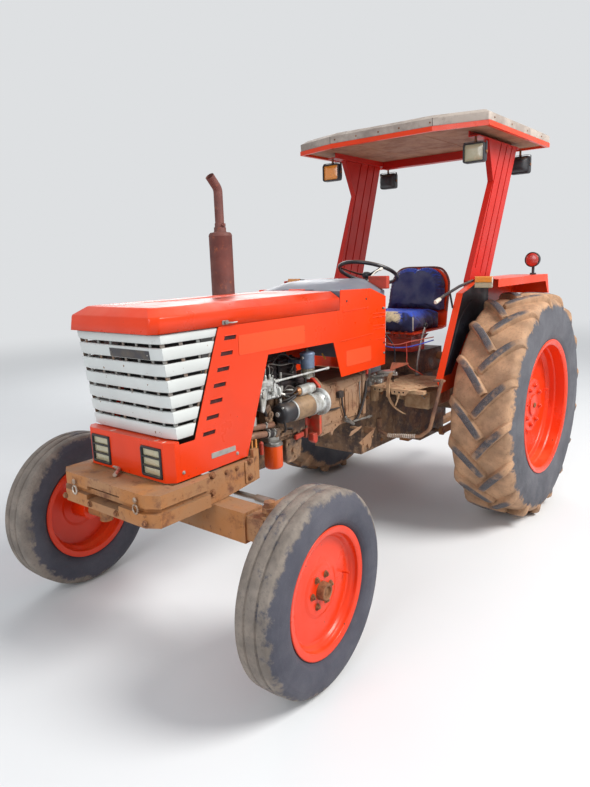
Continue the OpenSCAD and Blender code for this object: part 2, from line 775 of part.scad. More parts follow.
// Roll bar: two ribbed posts that lean back and splay, their side rails and the beam behind them
ceiling_t = 12;
rail_drop = 40;
post_top = canopy_z + canopy_rim_h - ceiling_t - seat;
post_rise = post_top - rail_drop - post_foot;
top_shift = post_rise * tan(post_splay);
post_rear = [[140, 1680], [497, post_top - rail_drop + 4]];
rib_steps = [78, 172, 272];
module post_outline() {
    polygon([[-100, post_foot + 6], [-225, 1660], [85, post_top - 299], [-35, post_top - rail_drop + 4],
        post_rear[1], post_rear[0], [100, post_foot + 6]]);
}
module rib_groove(step) {
    v = (post_rear[1] - post_rear[0]) / norm(post_rear[1] - post_rear[0]);
    n = [-v.y, v.x];
    a = post_rear[0] + n * step - v * 40;
    b = post_rear[1] + n * step + v * 60;
    polygon([a, b, b + n * 14, a + n * 14]);
}
module roll_bar() {
    color(post_red)
        placed() {
            both() {
                block(post_x - 16, post_x + post_t + 12, -100, 100, post_foot, post_foot + 16);
                difference() {
                    translate([post_x, 0, post_foot + 6])
                        rotate([0, post_splay, 0])
                            translate([-post_x, 0, -post_foot - 6])
                                difference() {
                                    across(post_x, post_x + post_t)
                                        post_outline();
                                    for (step = rib_steps) {
                                        across(post_x - 1, post_x + 6)
                                            rib_groove(step);
                                        across(post_x + post_t - 6, post_x + post_t + 1)
                                            rib_groove(step);
                                    }
                                }
                    block(post_x, post_x + 300, -400, 700, post_top - rail_drop + 2, post_top + 60);
                }
                block(post_x + top_shift - 30, post_x + top_shift + post_t + 6, -210, 560,
                    post_top - rail_drop, post_top - rail_drop + 6);
                block(post_x + top_shift - 30, post_x + top_shift - 24, -210, 560, post_top - rail_drop + 6, post_top);
            }
            block(-post_x - top_shift + 24, post_x + top_shift - 24, 490, 560, post_top - 62, post_top);
        }
}

// Rim of the canopy, with the panels of its ceiling
canopy_front = -470;
canopy_rear = 800;
canopy_nose = 400;
module canopy_outline(inset) {
    polygon([[-canopy_nose, canopy_front + inset], [canopy_nose, canopy_front + inset],
        [canopy_half - inset, canopy_front + 90 + inset / 2], [canopy_half - inset, canopy_rear - inset],
        [-canopy_half + inset, canopy_rear - inset], [-canopy_half + inset, canopy_front + 90 + inset / 2]]);
}
module canopy_frame() {
    color(red)
        placed()
            difference() {
                upright(canopy_z, canopy_z + canopy_rim_h)
                    canopy_outline(0);
                upright(canopy_z - 1, canopy_z + canopy_rim_h - ceiling_t)
                    canopy_outline(24);
            }
}

// Weathered roof skin on the canopy's rim: a band with a sloped edge and a flat top
skin_band = 50;
skin_rise = 30;
module canopy_roof() {
    z0 = canopy_z + canopy_rim_h;
    color([0.62, 0.6, 0.53])
        placed() {
            upright(z0, z0 + skin_band)
                canopy_outline(0);
            hull() {
                upright(z0 + skin_band - tiny, z0 + skin_band)
                    canopy_outline(0);
                upright(z0 + skin_band, z0 + skin_band + skin_rise)
                    canopy_outline(48);
            }
        }
}

// Work lamps in front of and behind the roll bar's tops
work_lamp_half = 75;
module work_lamps() {
    lamp_z = [canopy_z - 188, canopy_z - 62];
    x = post_x + top_shift + 14;
    color(black)
        placed()
            for (y = [-190, 650])
                for (side = [-1, 1]) {
                    block(side * x - work_lamp_half, side * x + work_lamp_half, y - 38, y + 38, lamp_z[0], lamp_z[1]);
                    block(side * x - 50, side * x + 50, y + (y < 0 ? 38 : -68), y + (y < 0 ? 68 : -38),
                        lamp_z[0] + 30, lamp_z[1] - 30);
                    block(side * x - 14, side * x + 14, y - 12, y + 12, lamp_z[1],
                        y < 0 ? post_top - rail_drop - seat : post_top);
                }
}

// Seat pan on its pedestal
seat_y = -410;
seat_z = 1302;
seat_half = 250;
back_top = 1748;
back_round = 170;
function pan_y(z) = 95 + (z - seat_z) / 6;
module seat_pan() {
    color(red)
        placed() {
            block(-110, 110, -190, 20, lift_top + seat, seat_z - 12);
            intersection() {
                across(-seat_half, seat_half)
                    polygon([[seat_y, seat_z - 12], [35, seat_z - 12], [110, seat_z - 2], [pan_y(back_top) + 12, back_top - 2],
                        [pan_y(back_top), back_top], [pan_y(seat_z + 10), seat_z + 10], [30, seat_z], [seat_y, seat_z]]);
                lengthways(-500, 500)
                    seat_face(seat_half, back_top + 1);
            }
        }
}
module seat_face(half, top) {
    translate([-half, seat_z - 40])
        square([2 * half, top - seat_z + 40 - back_round]);
    translate([-half + back_round, top - back_round - 10])
        square([2 * (half - back_round), back_round + 10]);
    for (side = [-1, 1])
        translate([side * (half - back_round), top - back_round])
            circle(r = back_round);
}

// Seat cushion and backrest pad
cushion_t = 118;
module seat_cushion() {
    color([0.05, 0.1, 0.5])
        placed()
            block(-seat_half + 15, seat_half - 15, seat_y + 6, 20, seat_z + seat, seat_z + cushion_t);
}
module seat_backrest() {
    z0 = seat_z + cushion_t + 4;
    color([0.05, 0.1, 0.5])
        placed()
            intersection() {
                across(-seat_half + 15, seat_half - 15)
                    polygon([[30, z0], [pan_y(z0) - seat, z0], [pan_y(back_top + 10) - seat, back_top + 10],
                        [pan_y(back_top) - 70, back_top + 10]]);
                lengthways(-500, 500)
                    seat_face(seat_half - 15, back_top + 9);
            }
}

// Hand levers and foot pedals
module controls() {
    color(steel)
        placed() {
            tube_run([[60, -700, 960 + seat], [60, -700, 1050], [60, -640, 1250], [60, -560, 1400]], 9, 60,
                [1, 0, 0]);
            translate([60, -560, 1410])
                sphere(r = 22);
            tube_run([[300, -450, platform_z + seat], [300, -450, 1100], [330, -400, 1350]], 9, 60, [1, 0, 0]);
        }
}

// Drawbar under the gearbox with its pin hole
drawbar_end = 900;
module drawbar() {
    color(tan_paint)
        placed()
            difference() {
                block(-40, 40, -100, drawbar_end, 400, 440);
                translate([0, drawbar_end - 50, 399])
                    cylinder(r = 14, h = 42);
            }
}

// Bonnet lid: a folded shell, proud of the side panels
lid_proud = 2;
module lid_section(inset) {
    half = hood_half + lid_proud - inset;
    polygon([[-half, seam_z], [half, seam_z], [half, 1612], [half - 60, hood_top - inset],
        [-half + 60, hood_top - inset], [-half, 1612]]);
}
module lid_side(inset) {
    polygon([[y_nose - 14 + inset, seam_z - 1], [y_nose + inset, 1612], [y_nose + 48 + inset, hood_top + 1],
        [y_lid_rear, hood_top + 1], [y_lid_rear, seam_z - 1]]);
}
module lid_plan(inset) {
    half = hood_half + lid_proud + 1 - inset;
    polygon([[-half + 35, y_nose - 20], [half - 35, y_nose - 20], [half, y_nose + 20], [half, y_lid_rear + 1],
        [-half, y_lid_rear + 1], [-half, y_nose + 20]]);
}
module lid_form(inset) {
    intersection() {
        lengthways(y_nose - 30, y_lid_rear)
            lid_section(inset);
        across(-hood_half - 10, hood_half + 10)
            lid_side(inset);
        upright(seam_z - 2, hood_top + 2)
            lid_plan(inset);
    }
}
module bonnet_lid() {
    color(red)
        placed()
            difference() {
                union() {
                    difference() {
                        lid_form(0);
                        translate([0, 0, -tiny])
                            lid_form(sheet);
                    }
                    hinge_leaf(-60, 60, y_lid_rear - 2);
                }
                bar_x(-61, 61, hinge_y, hinge_z, hinge_pin_r + fit);
            }
}

// Steering wheel: rim, three spokes and hub
module steering_wheel() {
    color(black)
        placed()
            translate(wheel_c)
                rotate([-wheel_lean, 0, 0]) {
                    rotate_extrude()
                        translate([wheel_d / 2 - 13, 0])
                            circle(r = 13, $fn = 24);
                    for (i = [0 : 2])
                        rotate([0, 0, 90 + i * 120])
                            bar([30, 0, -18], [wheel_d / 2 - 13, 0, 0], 8);
                    difference() {
                        translate([0, 0, -40])
                            cylinder(r = 38, h = 34);
                        translate([0, 0, -41])
                            cylinder(r = 11 + fit, h = 20);
                    }
                }
}

// Turns the children about the kingpin on one side to the parked steering angle
module steered(side) {
    translate([side * kingpin_x, y_axle, 0])
        rotate([0, 0, steer_rest])
            translate([-side * kingpin_x, -y_axle, 0])
                children();
}

// Steering knuckle: kingpin, post, spindle, steering arm and ball stud
hub_front_in = front_track / 2 - 100;
spindle_r = 20;
module knuckle(side) {
    color(tan_paint)
        placed()
            steered(side)
                translate([side * kingpin_x, y_axle, 0]) {
                    translate([0, 0, beam_z0 - 10])
                        cylinder(r = kingpin_r, h = beam_h + 60);
                    translate([0, 0, front_z - 40])
                        cylinder(r = 36, h = beam_z0 - 6 - front_z + 40);
                    translate([0, 0, arm_z])
                        cylinder(r = 34, h = 22);
                    translate([0, 0, arm_z + 22])
                        cylinder(r = 27, h = 24, $fn = 6);
                    block(-18, 18, 0, steer_arm, arm_z, arm_z + 20);
                    translate([0, steer_arm, arm_z])
                        cylinder(r = 22, h = 20);
                    translate([0, steer_arm, rod_z - 24])
                        cylinder(r = 10, h = arm_z - rod_z + 24);
                    mirror([side < 0 ? 1 : 0, 0, 0]) {
                        bar_x(0, hub_front_in - kingpin_x - seat, 0, front_z, 32);
                        bar_x(0, front_track / 2 + 60 - kingpin_x, 0, front_z, spindle_r);
                    }
                }
}
module steering_knuckle_left() {
    knuckle(1);
}
module steering_knuckle_right() {
    knuckle(-1);
}

// Tie rod between the two ball studs
ball_shift = [-steer_arm * sin(steer_rest), steer_arm * cos(steer_rest)];
module tie_rod() {
    color(steel)
        placed()
            translate([ball_shift[0], y_axle + ball_shift[1], rod_z])
                difference() {
                    union() {
                        bar_x(-kingpin_x + 5, kingpin_x - 5, 0, 0, 13);
                        bar_x(kingpin_x - 230, kingpin_x - 90, 0, 0, 19);
                        for (side = [-1, 1])
                            translate([side * kingpin_x, 0, -20])
                                cylinder(r = 24, h = 40);
                    }
                    for (side = [-1, 1])
                        translate([side * kingpin_x, 0, -30])
                            cylinder(r = 10 + (side > 0 ? fit : seat), h = 60);
                }
}

// Rim with a drop centre, a disc at dish_x, a raised boss on it and a hub whose cap ends at hub_x1
module rim(half_w, flange_r, seat_drop, wall, well, dish_x, boss, hub_r, cap_r, hub_x0, hub_x1, bore_r, bore_x1) {
    seat_r = flange_r - seat_drop;
    well_r = seat_r - well;
    disc_t = 14;
    well_x = dish_x + disc_t;
    difference() {
        turned_x([[-half_w, seat_r - wall], [-half_w, flange_r], [-half_w + 9, flange_r], [-half_w + 9, seat_r],
            [-well_x - 14, seat_r], [-well_x, well_r], [well_x, well_r], [well_x + 14, seat_r],
            [half_w - 9, seat_r], [half_w - 9, flange_r], [half_w, flange_r], [half_w, seat_r - wall],
            [well_x + 18, seat_r - wall], [well_x, well_r - wall], [dish_x + disc_t, boss[0] + 14],
            [dish_x + disc_t + boss[1], boss[0]], [dish_x + disc_t + boss[1], cap_r], [hub_x1, cap_r], [hub_x1, 0],
            [hub_x0, 0], [hub_x0, hub_r], [dish_x + boss[1], hub_r], [dish_x + boss[1], boss[0] - 4],
            [dish_x, boss[0] + 10], [dish_x, well_r - wall], [-well_x, well_r - wall],
            [-well_x - 18, seat_r - wall]]);
        turned_x([[hub_x0 - 1, 0], [bore_x1, 0], [bore_x1, bore_r], [hub_x0 - 1, bore_r]]);
    }
}
// Outline of a tyre as [distance outward, radius], with the points of its tread between the shoulders
module tyre(half_w, bead_half, bead_r, flange_r, outer_r, tread) {
    mid_r = (bead_r + outer_r) / 2 - 6;
    turned_x(concat([[-bead_half, bead_r], [-bead_half, flange_r + 3], [-half_w + 6, mid_r - 40],
        [-half_w, mid_r], [-half_w + 4, mid_r + 40]], tread, [[half_w - 4, mid_r + 40], [half_w, mid_r],
        [half_w - 6, mid_r - 40], [bead_half, flange_r + 3], [bead_half, bead_r]]));
}

// Front wheels
module front_wheel(side) {
    placed()
        steered(side)
            translate([side * front_track / 2, y_axle, front_z])
                mirror([side < 0 ? 1 : 0, 0, 0])
                    children();
}
front_seat_drop = 26;
groove_x = 28;
groove_w = 9;
groove_h = 9;
function groove(x, r) = [[x - groove_w / 2, r], [x - groove_w / 4, r - groove_h], [x + groove_w / 4, r - groove_h],
    [x + groove_w / 2, r]];
module front_rim(side) {
    color(red)
        front_wheel(side)
            rim(front_rim_w / 2, front_rim_d / 2, front_seat_drop, 8, 22, 18, [112, 4], 60, 38,
                hub_front_in - front_track / 2, 72, spindle_r + fit, 62);
}
module front_tyre(side) {
    outer_r = front_tyre_d / 2;
    color(tyre_grey)
        front_wheel(side)
            tyre(front_tyre_w / 2, front_rim_w / 2 - 9 - seat, front_rim_d / 2 - front_seat_drop + seat,
                front_rim_d / 2, outer_r, concat([[-tread_half - 10, outer_r - 14], [-tread_half, outer_r - crown_drop]],
                groove(-groove_x, outer_r - 1), [[0, outer_r]], groove(groove_x, outer_r - 1),
                [[tread_half, outer_r - crown_drop], [tread_half + 10, outer_r - 14]]));
}
module front_rim_left() {
    front_rim(1);
}
module front_rim_right() {
    front_rim(-1);
}
module front_tyre_left() {
    front_tyre(1);
}
module front_tyre_right() {
    front_tyre(-1);
}

// Rear wheels
module rear_wheel(side) {
    placed()
        translate([side * rear_track / 2, 0, rear_z])
            mirror([side < 0 ? 1 : 0, 0, 0])
                children();
}
rear_seat_drop = 32;
module rear_rim(side) {
    color(red)
        rear_wheel(side)
            rim(rear_rim_w / 2, rear_rim_d / 2, rear_seat_drop, 10, 34, 44, [185, 34], 100, 74,
                hub_in - rear_track / 2, 104, rear_stub_r + fit, 62);
}

// Lugs: one bar of the tread in its own frame, and the two staggered rows of them
lug_w = 46;
lug_lean = 43;
lug_in = -16;
lug_turn = 10.8;
carcass_r = rear_tyre_d / 2 - lug_h;
module lug() {
    top = rear_tyre_d / 2 - 0.3;
    reach = (rear_tyre_w / 2 - 16 - lug_in) / cos(lug_lean) - lug_w / 2 * tan(lug_lean);
    translate([lug_in, -reach * sin(lug_lean) / 2, 0])
        rotate([0, 0, lug_lean])
            lengthways(-lug_w / 2, lug_w / 2)
                polygon([[0, carcass_r - 20], [0, top - 9], [reach * 0.5, top], [reach - 22, top - 16],
                    [reach, top - 64], [reach - 12, carcass_r - 74], [reach - 60, carcass_r - 20]]);
}
module lug_row(row) {
    for (i = [0 : lug_count - 1])
        rotate([lug_turn + (i + row / 2) * 360 / lug_count, 0, 0])
            mirror([row, 0, 0])
                lug();
}
module rear_tyre(side) {
    half = rear_tyre_w / 2;
    color(tyre_grey)
        rear_wheel(side) {
            tyre(half, rear_rim_w / 2 - 9 - seat, rear_rim_d / 2 - rear_seat_drop + seat, rear_rim_d / 2, carcass_r,
                [[-half + 20, carcass_r - 30], [-half + 40, carcass_r - 8], [0, carcass_r],
                [half - 40, carcass_r - 8], [half - 20, carcass_r - 30]]);
            for (row = [0, 1])
                lug_row(row);
        }
}
module rear_rim_left() {
    rear_rim(1);
}
module rear_rim_right() {
    rear_rim(-1);
}
module rear_tyre_left() {
    rear_tyre(1);
}
module rear_tyre_right() {
    rear_tyre(-1);
}

// Turns the children about a pivot of the hitch to the parked angle
module raised(y, z) {
    translate([0, y, z])
        rotate([hitch_rest, 0, 0])
            children();
}

// Rockshaft with its two lift arms
link_in = 250;
link_out = 400;
arm_x = 300;
arm_t = 22;
rod_x = arm_x + arm_t + 6;
rod_t = 20;
module lift_arms() {
    color(tan_paint)
        placed()
            raised(rock_y, rock_z) {
                bar_x(-arm_x - 2, arm_x + 2, 0, 0, shaft_r);
                both() {
                    bar_x(arm_x, arm_x + arm_t, 0, 0, 50);
                    block(arm_x, arm_x + arm_t, 0, lift_arm_len, -26, 26);
                    bar_x(arm_x, arm_x + arm_t, lift_arm_len, 0, 32);
                    bar_x(arm_x, rod_x + rod_t + 4, lift_arm_len, 0, link_pin_r);
                }
            }
}

// Lower links with a ball end and the pin of the lift rod
module lower_links() {
    slope = (link_out - link_in) / lower_link_len;
    rod_link_x = link_in + slope * lift_arm_len;
    color(tan_paint)
        placed()
            raised(link_y, link_z)
                both()
                    difference() {
                        union() {
                            upright(-26, 26)
                                polygon([[link_in - 10, 0], [link_in + 10, 0], [link_out + 10, lower_link_len],
                                    [link_out - 10, lower_link_len]]);
                            bar_x(link_in - 14, link_in + 14, 0, 0, 32);
                            bar_x(link_out - 24, link_out + 24, lower_link_len, 0, 32);
                            bar_x(rod_link_x, rod_x + rod_t + 4, lift_arm_len, 0, link_pin_r);
                        }
                        bar_x(link_in - 30, link_in + 30, 0, 0, link_pin_r + fit);
                        bar_x(link_out - 30, link_out + 30, lower_link_len, 0, 14.35);
                    }
}

// Lift rods between the arms and the lower links
rod_top = [rock_y + lift_arm_len * cos(hitch_rest), rock_z + lift_arm_len * sin(hitch_rest)];
rod_low = rod_top + [link_y - rock_y, link_z - rock_z];
module lift_rods() {
    mid = rod_x + rod_t / 2;
    color(steel)
        placed()
            both()
                difference() {
                    union() {
                        bar([mid, rod_top[0], rod_top[1]], [mid, rod_low[0], rod_low[1]], 12);
                        bar_x(rod_x, rod_x + rod_t, rod_top[0], rod_top[1], 28);
                        bar_x(rod_x, rod_x + rod_t, rod_low[0], rod_low[1], 28);
                    }
                    bar_x(rod_x - 3, rod_x + rod_t + 3, rod_top[0], rod_top[1], link_pin_r + fit);
                    bar_x(rod_x - 3, rod_x + rod_t + 3, rod_low[0], rod_low[1], link_pin_r + seat);
                }
}

front_ballast();
front_frame();
front_axle();
engine_block();
starter_motor();
injection_pump();
fuel_filters();
radiator();
exhaust();
clutch_housing();
gearbox();
rear_axle();
grille();
nose_panel();
headlamps();
side_panels();
dash_cowl();
steering_column();
platform();
steps();
fenders();
fender_lamps();
roll_bar();
canopy_frame();
canopy_roof();
work_lamps();
seat_pan();
seat_cushion();
seat_backrest();
controls();
drawbar();
bonnet_lid();
steering_wheel();
steering_knuckle_left();
steering_knuckle_right();
tie_rod();
front_rim_left();
front_tyre_left();
front_rim_right();
front_tyre_right();
rear_rim_left();
rear_tyre_left();
rear_rim_right();
rear_tyre_right();
lift_arms();
lower_links();
lift_rods();
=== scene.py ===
import json
import math

import bmesh
import bpy
import numpy as np
from mathutils import Matrix, Vector, noise
from mathutils.bvhtree import BVHTree


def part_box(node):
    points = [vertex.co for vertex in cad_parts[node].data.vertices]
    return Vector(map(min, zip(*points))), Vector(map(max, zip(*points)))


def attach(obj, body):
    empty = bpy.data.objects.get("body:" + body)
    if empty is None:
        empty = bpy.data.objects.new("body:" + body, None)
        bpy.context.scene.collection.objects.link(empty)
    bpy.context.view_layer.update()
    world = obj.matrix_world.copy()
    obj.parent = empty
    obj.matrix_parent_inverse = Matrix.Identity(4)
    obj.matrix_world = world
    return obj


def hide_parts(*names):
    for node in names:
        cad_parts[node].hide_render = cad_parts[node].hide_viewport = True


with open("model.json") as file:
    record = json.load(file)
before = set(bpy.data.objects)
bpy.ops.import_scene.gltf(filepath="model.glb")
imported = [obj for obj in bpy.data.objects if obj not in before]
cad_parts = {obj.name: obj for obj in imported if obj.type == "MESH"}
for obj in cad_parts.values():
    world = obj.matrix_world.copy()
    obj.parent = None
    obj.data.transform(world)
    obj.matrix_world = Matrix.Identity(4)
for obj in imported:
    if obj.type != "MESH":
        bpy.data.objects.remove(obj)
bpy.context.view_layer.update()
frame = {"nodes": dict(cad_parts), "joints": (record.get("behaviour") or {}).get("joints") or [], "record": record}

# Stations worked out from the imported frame
REAR_LOW, REAR_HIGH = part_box("rear_tyre_left")
AXLE_Y = (REAR_LOW.y + REAR_HIGH.y) / 2
FRONT_LOW, FRONT_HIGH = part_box("front_tyre_left")
REAR_HUB = (0.0, AXLE_Y, (REAR_LOW.z + REAR_HIGH.z) / 2)
FRONT_HUB = (0.0, (FRONT_LOW.y + FRONT_HIGH.y) / 2, (FRONT_LOW.z + FRONT_HIGH.z) / 2)


def at(x, y, z):
    """A point whose y is counted from the rear axle."""
    return Vector((x, AXLE_Y + y, z))


# Node graphs for the materials

class Graph:
    """A material with short calls for the nodes that its finish is built from."""

    def __init__(self, name):
        self.material = bpy.data.materials.new(name)
        self.material.use_nodes = True
        self.nodes = self.material.node_tree.nodes
        self.links = self.material.node_tree.links
        self.shader = self.nodes["Principled BSDF"]
        self.place = self.nodes.new("ShaderNodeTexCoord").outputs["Object"]
        self.normal = self.nodes.new("ShaderNodeNewGeometry").outputs["Normal"]

    def plug(self, value, socket):
        if isinstance(value, bpy.types.NodeSocket):
            self.links.new(value, socket)
        else:
            socket.default_value = value

    def noise(self, scale, detail=4.0, rough=0.55, stretch=None, distort=0.0):
        node = self.nodes.new("ShaderNodeTexNoise")
        node.inputs["Scale"].default_value = scale
        node.inputs["Detail"].default_value = detail
        node.inputs["Roughness"].default_value = rough
        node.inputs["Distortion"].default_value = distort
        self.links.new(self.stretched(stretch), node.inputs["Vector"])
        return node.outputs["Fac"]

    def stretched(self, stretch):
        if stretch is None:
            return self.place
        node = self.nodes.new("ShaderNodeMapping")
        node.inputs["Scale"].default_value = stretch
        self.links.new(self.place, node.inputs["Vector"])
        return node.outputs["Vector"]

    def sum(self, kind, a, b=0.0, c=0.0):
        node = self.nodes.new("ShaderNodeMath")
        node.operation = kind
        for value, socket in zip((a, b, c), node.inputs):
            self.plug(value, socket)
        return node.outputs[0]

    def fade(self, value, low, high, start=0.0, end=1.0):
        """start where the value is under low, end where it is over high, smooth between."""
        node = self.nodes.new("ShaderNodeMapRange")
        node.interpolation_type = "SMOOTHSTEP"
        self.plug(value, node.inputs["Value"])
        for key, number in (("From Min", low), ("From Max", high), ("To Min", start), ("To Max", end)):
            node.inputs[key].default_value = number
        return node.outputs["Result"]

    def mix(self, share, a, b):
        node = self.nodes.new("ShaderNodeMix")
        node.data_type = "RGBA"
        self.plug(share, node.inputs["Factor"])
        for colour, socket in ((a, node.inputs["A"]), (b, node.inputs["B"])):
            self.plug(colour, socket)
        return node.outputs["Result"]

    def part(self, vector, axis):
        node = self.nodes.new("ShaderNodeSeparateXYZ")
        self.links.new(vector, node.inputs[0])
        return node.outputs[axis]

    def bump(self, height, distance, strength=1.0, below=None):
        node = self.nodes.new("ShaderNodeBump")
        node.inputs["Strength"].default_value = strength
        node.inputs["Distance"].default_value = distance
        self.links.new(height, node.inputs["Height"])
        if below is not None:
            self.links.new(below, node.inputs["Normal"])
        return node.outputs["Normal"]

    def finish(self, colour, rough, bump=None, **sockets):
        self.plug(colour, self.shader.inputs["Base Color"])
        self.plug(rough, self.shader.inputs["Roughness"])
        if bump is not None:
            self.links.new(bump, self.shader.inputs["Normal"])
        for key, value in sockets.items():
            self.shader.inputs[key.replace("_", " ").title().replace("Ior", "IOR")].default_value = value
        return self.material


def rgb(red, green, blue):
    """A colour written as it shows on a screen, from 0 to 255, as linear light."""
    def linear(c):
        c = c / 255
        return c / 12.92 if c <= 0.04045 else ((c + 0.055) / 1.055) ** 2.4
    return (linear(red), linear(green), linear(blue), 1.0)


def shade(colour, share):
    return tuple(c * share for c in colour[:3]) + (1.0,)


DUST = rgb(206, 176, 140)


def gloss_paint(name, colour, dust, chip, dusty=0.2, chipped=0.62, rough=0.32, coat=0.12):
    """Sprayed enamel: slight fading, dust on what faces up, and small chips."""
    g = Graph(name)
    faded = g.mix(g.fade(g.noise(2.3, 3), 0.35, 0.7), colour, shade(colour, 0.88))
    up = g.fade(g.part(g.normal, "Z"), 0.35, 0.95)
    film = g.sum("MULTIPLY", g.fade(g.noise(7.0, 5), 0.3, 0.75), g.sum("MULTIPLY", up, dusty))
    film = g.sum("ADD", film, g.fade(g.noise(19.0, 6, 0.7), 0.6, 0.85, 0.0, dusty * 0.5))
    layered = g.mix(film, faded, dust)
    chips = g.fade(g.noise(46.0, 3, 0.5), chipped + 0.12, chipped + 0.14)
    layered = g.mix(chips, layered, chip)
    peel = g.bump(g.noise(160.0, 2), 0.0004, 0.25)
    return g.finish(layered, g.fade(g.noise(5.0, 5), 0.3, 0.8, rough - 0.06, rough + 0.16), peel,
        coat_weight=coat, coat_roughness=0.12, specular_ior_level=0.3)


def chassis_paint(name, tan, ochre):
    """Ochre cast metal with rust blooms, dried mud and a gritty skin."""
    g = Graph(name)
    rust, mud = rgb(112, 70, 48), rgb(142, 114, 90)
    base = g.mix(g.fade(g.noise(3.5, 5), 0.35, 0.65), tan, ochre)
    base = g.mix(g.fade(g.noise(9.0, 8, 0.7), 0.52, 0.68), base, rust)
    base = g.mix(g.fade(g.noise(28.0, 6, 0.7), 0.56, 0.7, 0.0, 0.7), base, shade(rust, 0.5))
    up = g.fade(g.part(g.normal, "Z"), 0.2, 0.9, 0.0, 0.6)
    base = g.mix(g.sum("MULTIPLY", up, g.fade(g.noise(6.0, 6), 0.35, 0.6)), base, mud)
    grain = g.bump(g.noise(70.0, 8, 0.65), 0.0025, 0.5)
    return g.finish(base, g.fade(g.noise(8.0, 5), 0.3, 0.7, 0.62, 0.88), grain)


def cast_with_soil_and_painted_shade():
    """Dark castings under a film of dry soil; above z 1.08 to 1.2 they turn near black as painted shade."""
    g = Graph("oily_cast")
    dark, soil, pale = rgb(66, 50, 42), rgb(134, 104, 78), rgb(164, 134, 106)
    base = g.mix(g.fade(g.noise(6.0, 8, 0.7), 0.4, 0.6), dark, soil)
    base = g.mix(g.fade(g.noise(23.0, 8, 0.7), 0.5, 0.7, 0.0, 0.8), base, pale)
    # painted shade: above z 1.08 to 1.2, along a noisy edge, the colour turns near black
    high = g.fade(g.sum("ADD", g.part(g.place, "Z"), g.sum("MULTIPLY", g.noise(7.0, 4), 0.1)), 1.08, 1.2)
    base = g.mix(high, base, g.mix(g.fade(g.noise(17.0, 6), 0.4, 0.7), rgb(34, 26, 30), rgb(62, 48, 46)))
    grain = g.bump(g.noise(55.0, 8, 0.7), 0.004, 0.6)
    return g.finish(base, g.fade(g.noise(12.0, 4), 0.3, 0.7, 0.5, 0.9), grain)


def rust_skin():
    g = Graph("rusty_pipe")
    brown, plum, orange = rgb(112, 66, 58), rgb(88, 50, 46), rgb(150, 84, 56)
    base = g.mix(g.fade(g.noise(5.0, 6), 0.35, 0.65), brown, plum)
    base = g.mix(g.fade(g.noise(24.0, 8, 0.7), 0.55, 0.72), base, orange)
    grain = g.bump(g.noise(150.0, 6, 0.7), 0.001, 0.5)
    return g.finish(base, g.fade(g.noise(14.0, 4), 0.3, 0.7, 0.6, 0.85), grain)


def bare_steel():
    g = Graph("bare_metal")
    pale, grey, stain = rgb(176, 174, 168), rgb(128, 126, 122), rgb(116, 88, 62)
    base = g.mix(g.fade(g.noise(9.0, 5), 0.35, 0.7), pale, grey)
    base = g.mix(g.fade(g.noise(22.0, 8, 0.7), 0.58, 0.74, 0.0, 0.8), base, stain)
    grain = g.bump(g.noise(90.0, 6), 0.0012, 0.4)
    return g.finish(base, g.fade(g.noise(17.0, 4), 0.3, 0.7, 0.28, 0.55), grain, metallic=0.75)


def plastic(name, colour, dust, rough=0.45):
    g = Graph(name)
    base = g.mix(g.fade(g.noise(8.0, 5), 0.35, 0.7), colour, shade(colour, 1.35))
    up = g.fade(g.part(g.normal, "Z"), 0.3, 0.95, 0.0, 0.35)
    base = g.mix(g.sum("MULTIPLY", up, g.fade(g.noise(15.0, 6), 0.35, 0.7)), base, dust)
    grain = g.bump(g.noise(420.0, 2), 0.0003, 0.4)
    return g.finish(base, g.fade(g.noise(11.0, 4), 0.3, 0.7, rough - 0.08, rough + 0.15), grain)


def tread_rubber(name, rubber, worn, mud, tread_r, shoulder_r, centre, muddy):
    """Rubber with dried mud outside the shoulder's radius; the wheel's centre is a place in the frame."""
    g = Graph(name)
    place = g.nodes.new("ShaderNodeVectorMath")
    place.operation = "MULTIPLY"
    place.inputs[1].default_value = (0.0, 1.0, 1.0)
    moved = g.nodes.new("ShaderNodeVectorMath")
    moved.operation = "SUBTRACT"
    g.links.new(g.place, moved.inputs[0])
    moved.inputs[1].default_value = centre
    g.links.new(moved.outputs[0], place.inputs[0])
    length = g.nodes.new("ShaderNodeVectorMath")
    length.operation = "LENGTH"
    g.links.new(place.outputs[0], length.inputs[0])
    radius = length.outputs["Value"]
    base = g.mix(g.fade(g.noise(3.0, 5), 0.35, 0.7), rubber, worn)
    base = g.mix(g.fade(g.noise(150.0, 4, 0.75), 0.56, 0.72, 0.0, 0.4), base, shade(worn, 1.5))
    ragged = g.sum("ADD", radius, g.sum("MULTIPLY", g.sum("SUBTRACT", g.noise(11.0, 7, 0.7), 0.5), 0.16))
    coat = g.fade(ragged, shoulder_r - 0.012, shoulder_r + 0.012)
    soil = g.mix(g.fade(g.noise(9.0, 6), 0.35, 0.65), mud, shade(mud, 0.62))
    soil = g.mix(g.fade(g.noise(70.0, 6, 0.7), 0.5, 0.7, 0.0, 0.6), soil, shade(mud, 0.45))
    base = g.mix(g.sum("MULTIPLY", coat, muddy), base, soil)
    worn_top = g.fade(radius, tread_r - 0.012, tread_r - 0.003)
    speckle = g.mix(g.fade(g.noise(260.0, 3, 0.8), 0.42, 0.66), shade(rubber, 0.55), shade(worn, 1.25))
    base = g.mix(g.sum("MULTIPLY", worn_top, g.fade(g.noise(17.0, 6), 0.25, 0.5, 0.35, 0.95)), base, speckle)
    grain = g.bump(g.noise(140.0, 7, 0.75), 0.003, 0.55)
    crust = g.bump(g.sum("MULTIPLY", g.noise(45.0, 8, 0.7), coat), 0.006, 0.5, grain)
    return g.finish(base, g.fade(g.noise(10.0, 3), 0.3, 0.7, 0.62, 0.88), crust)


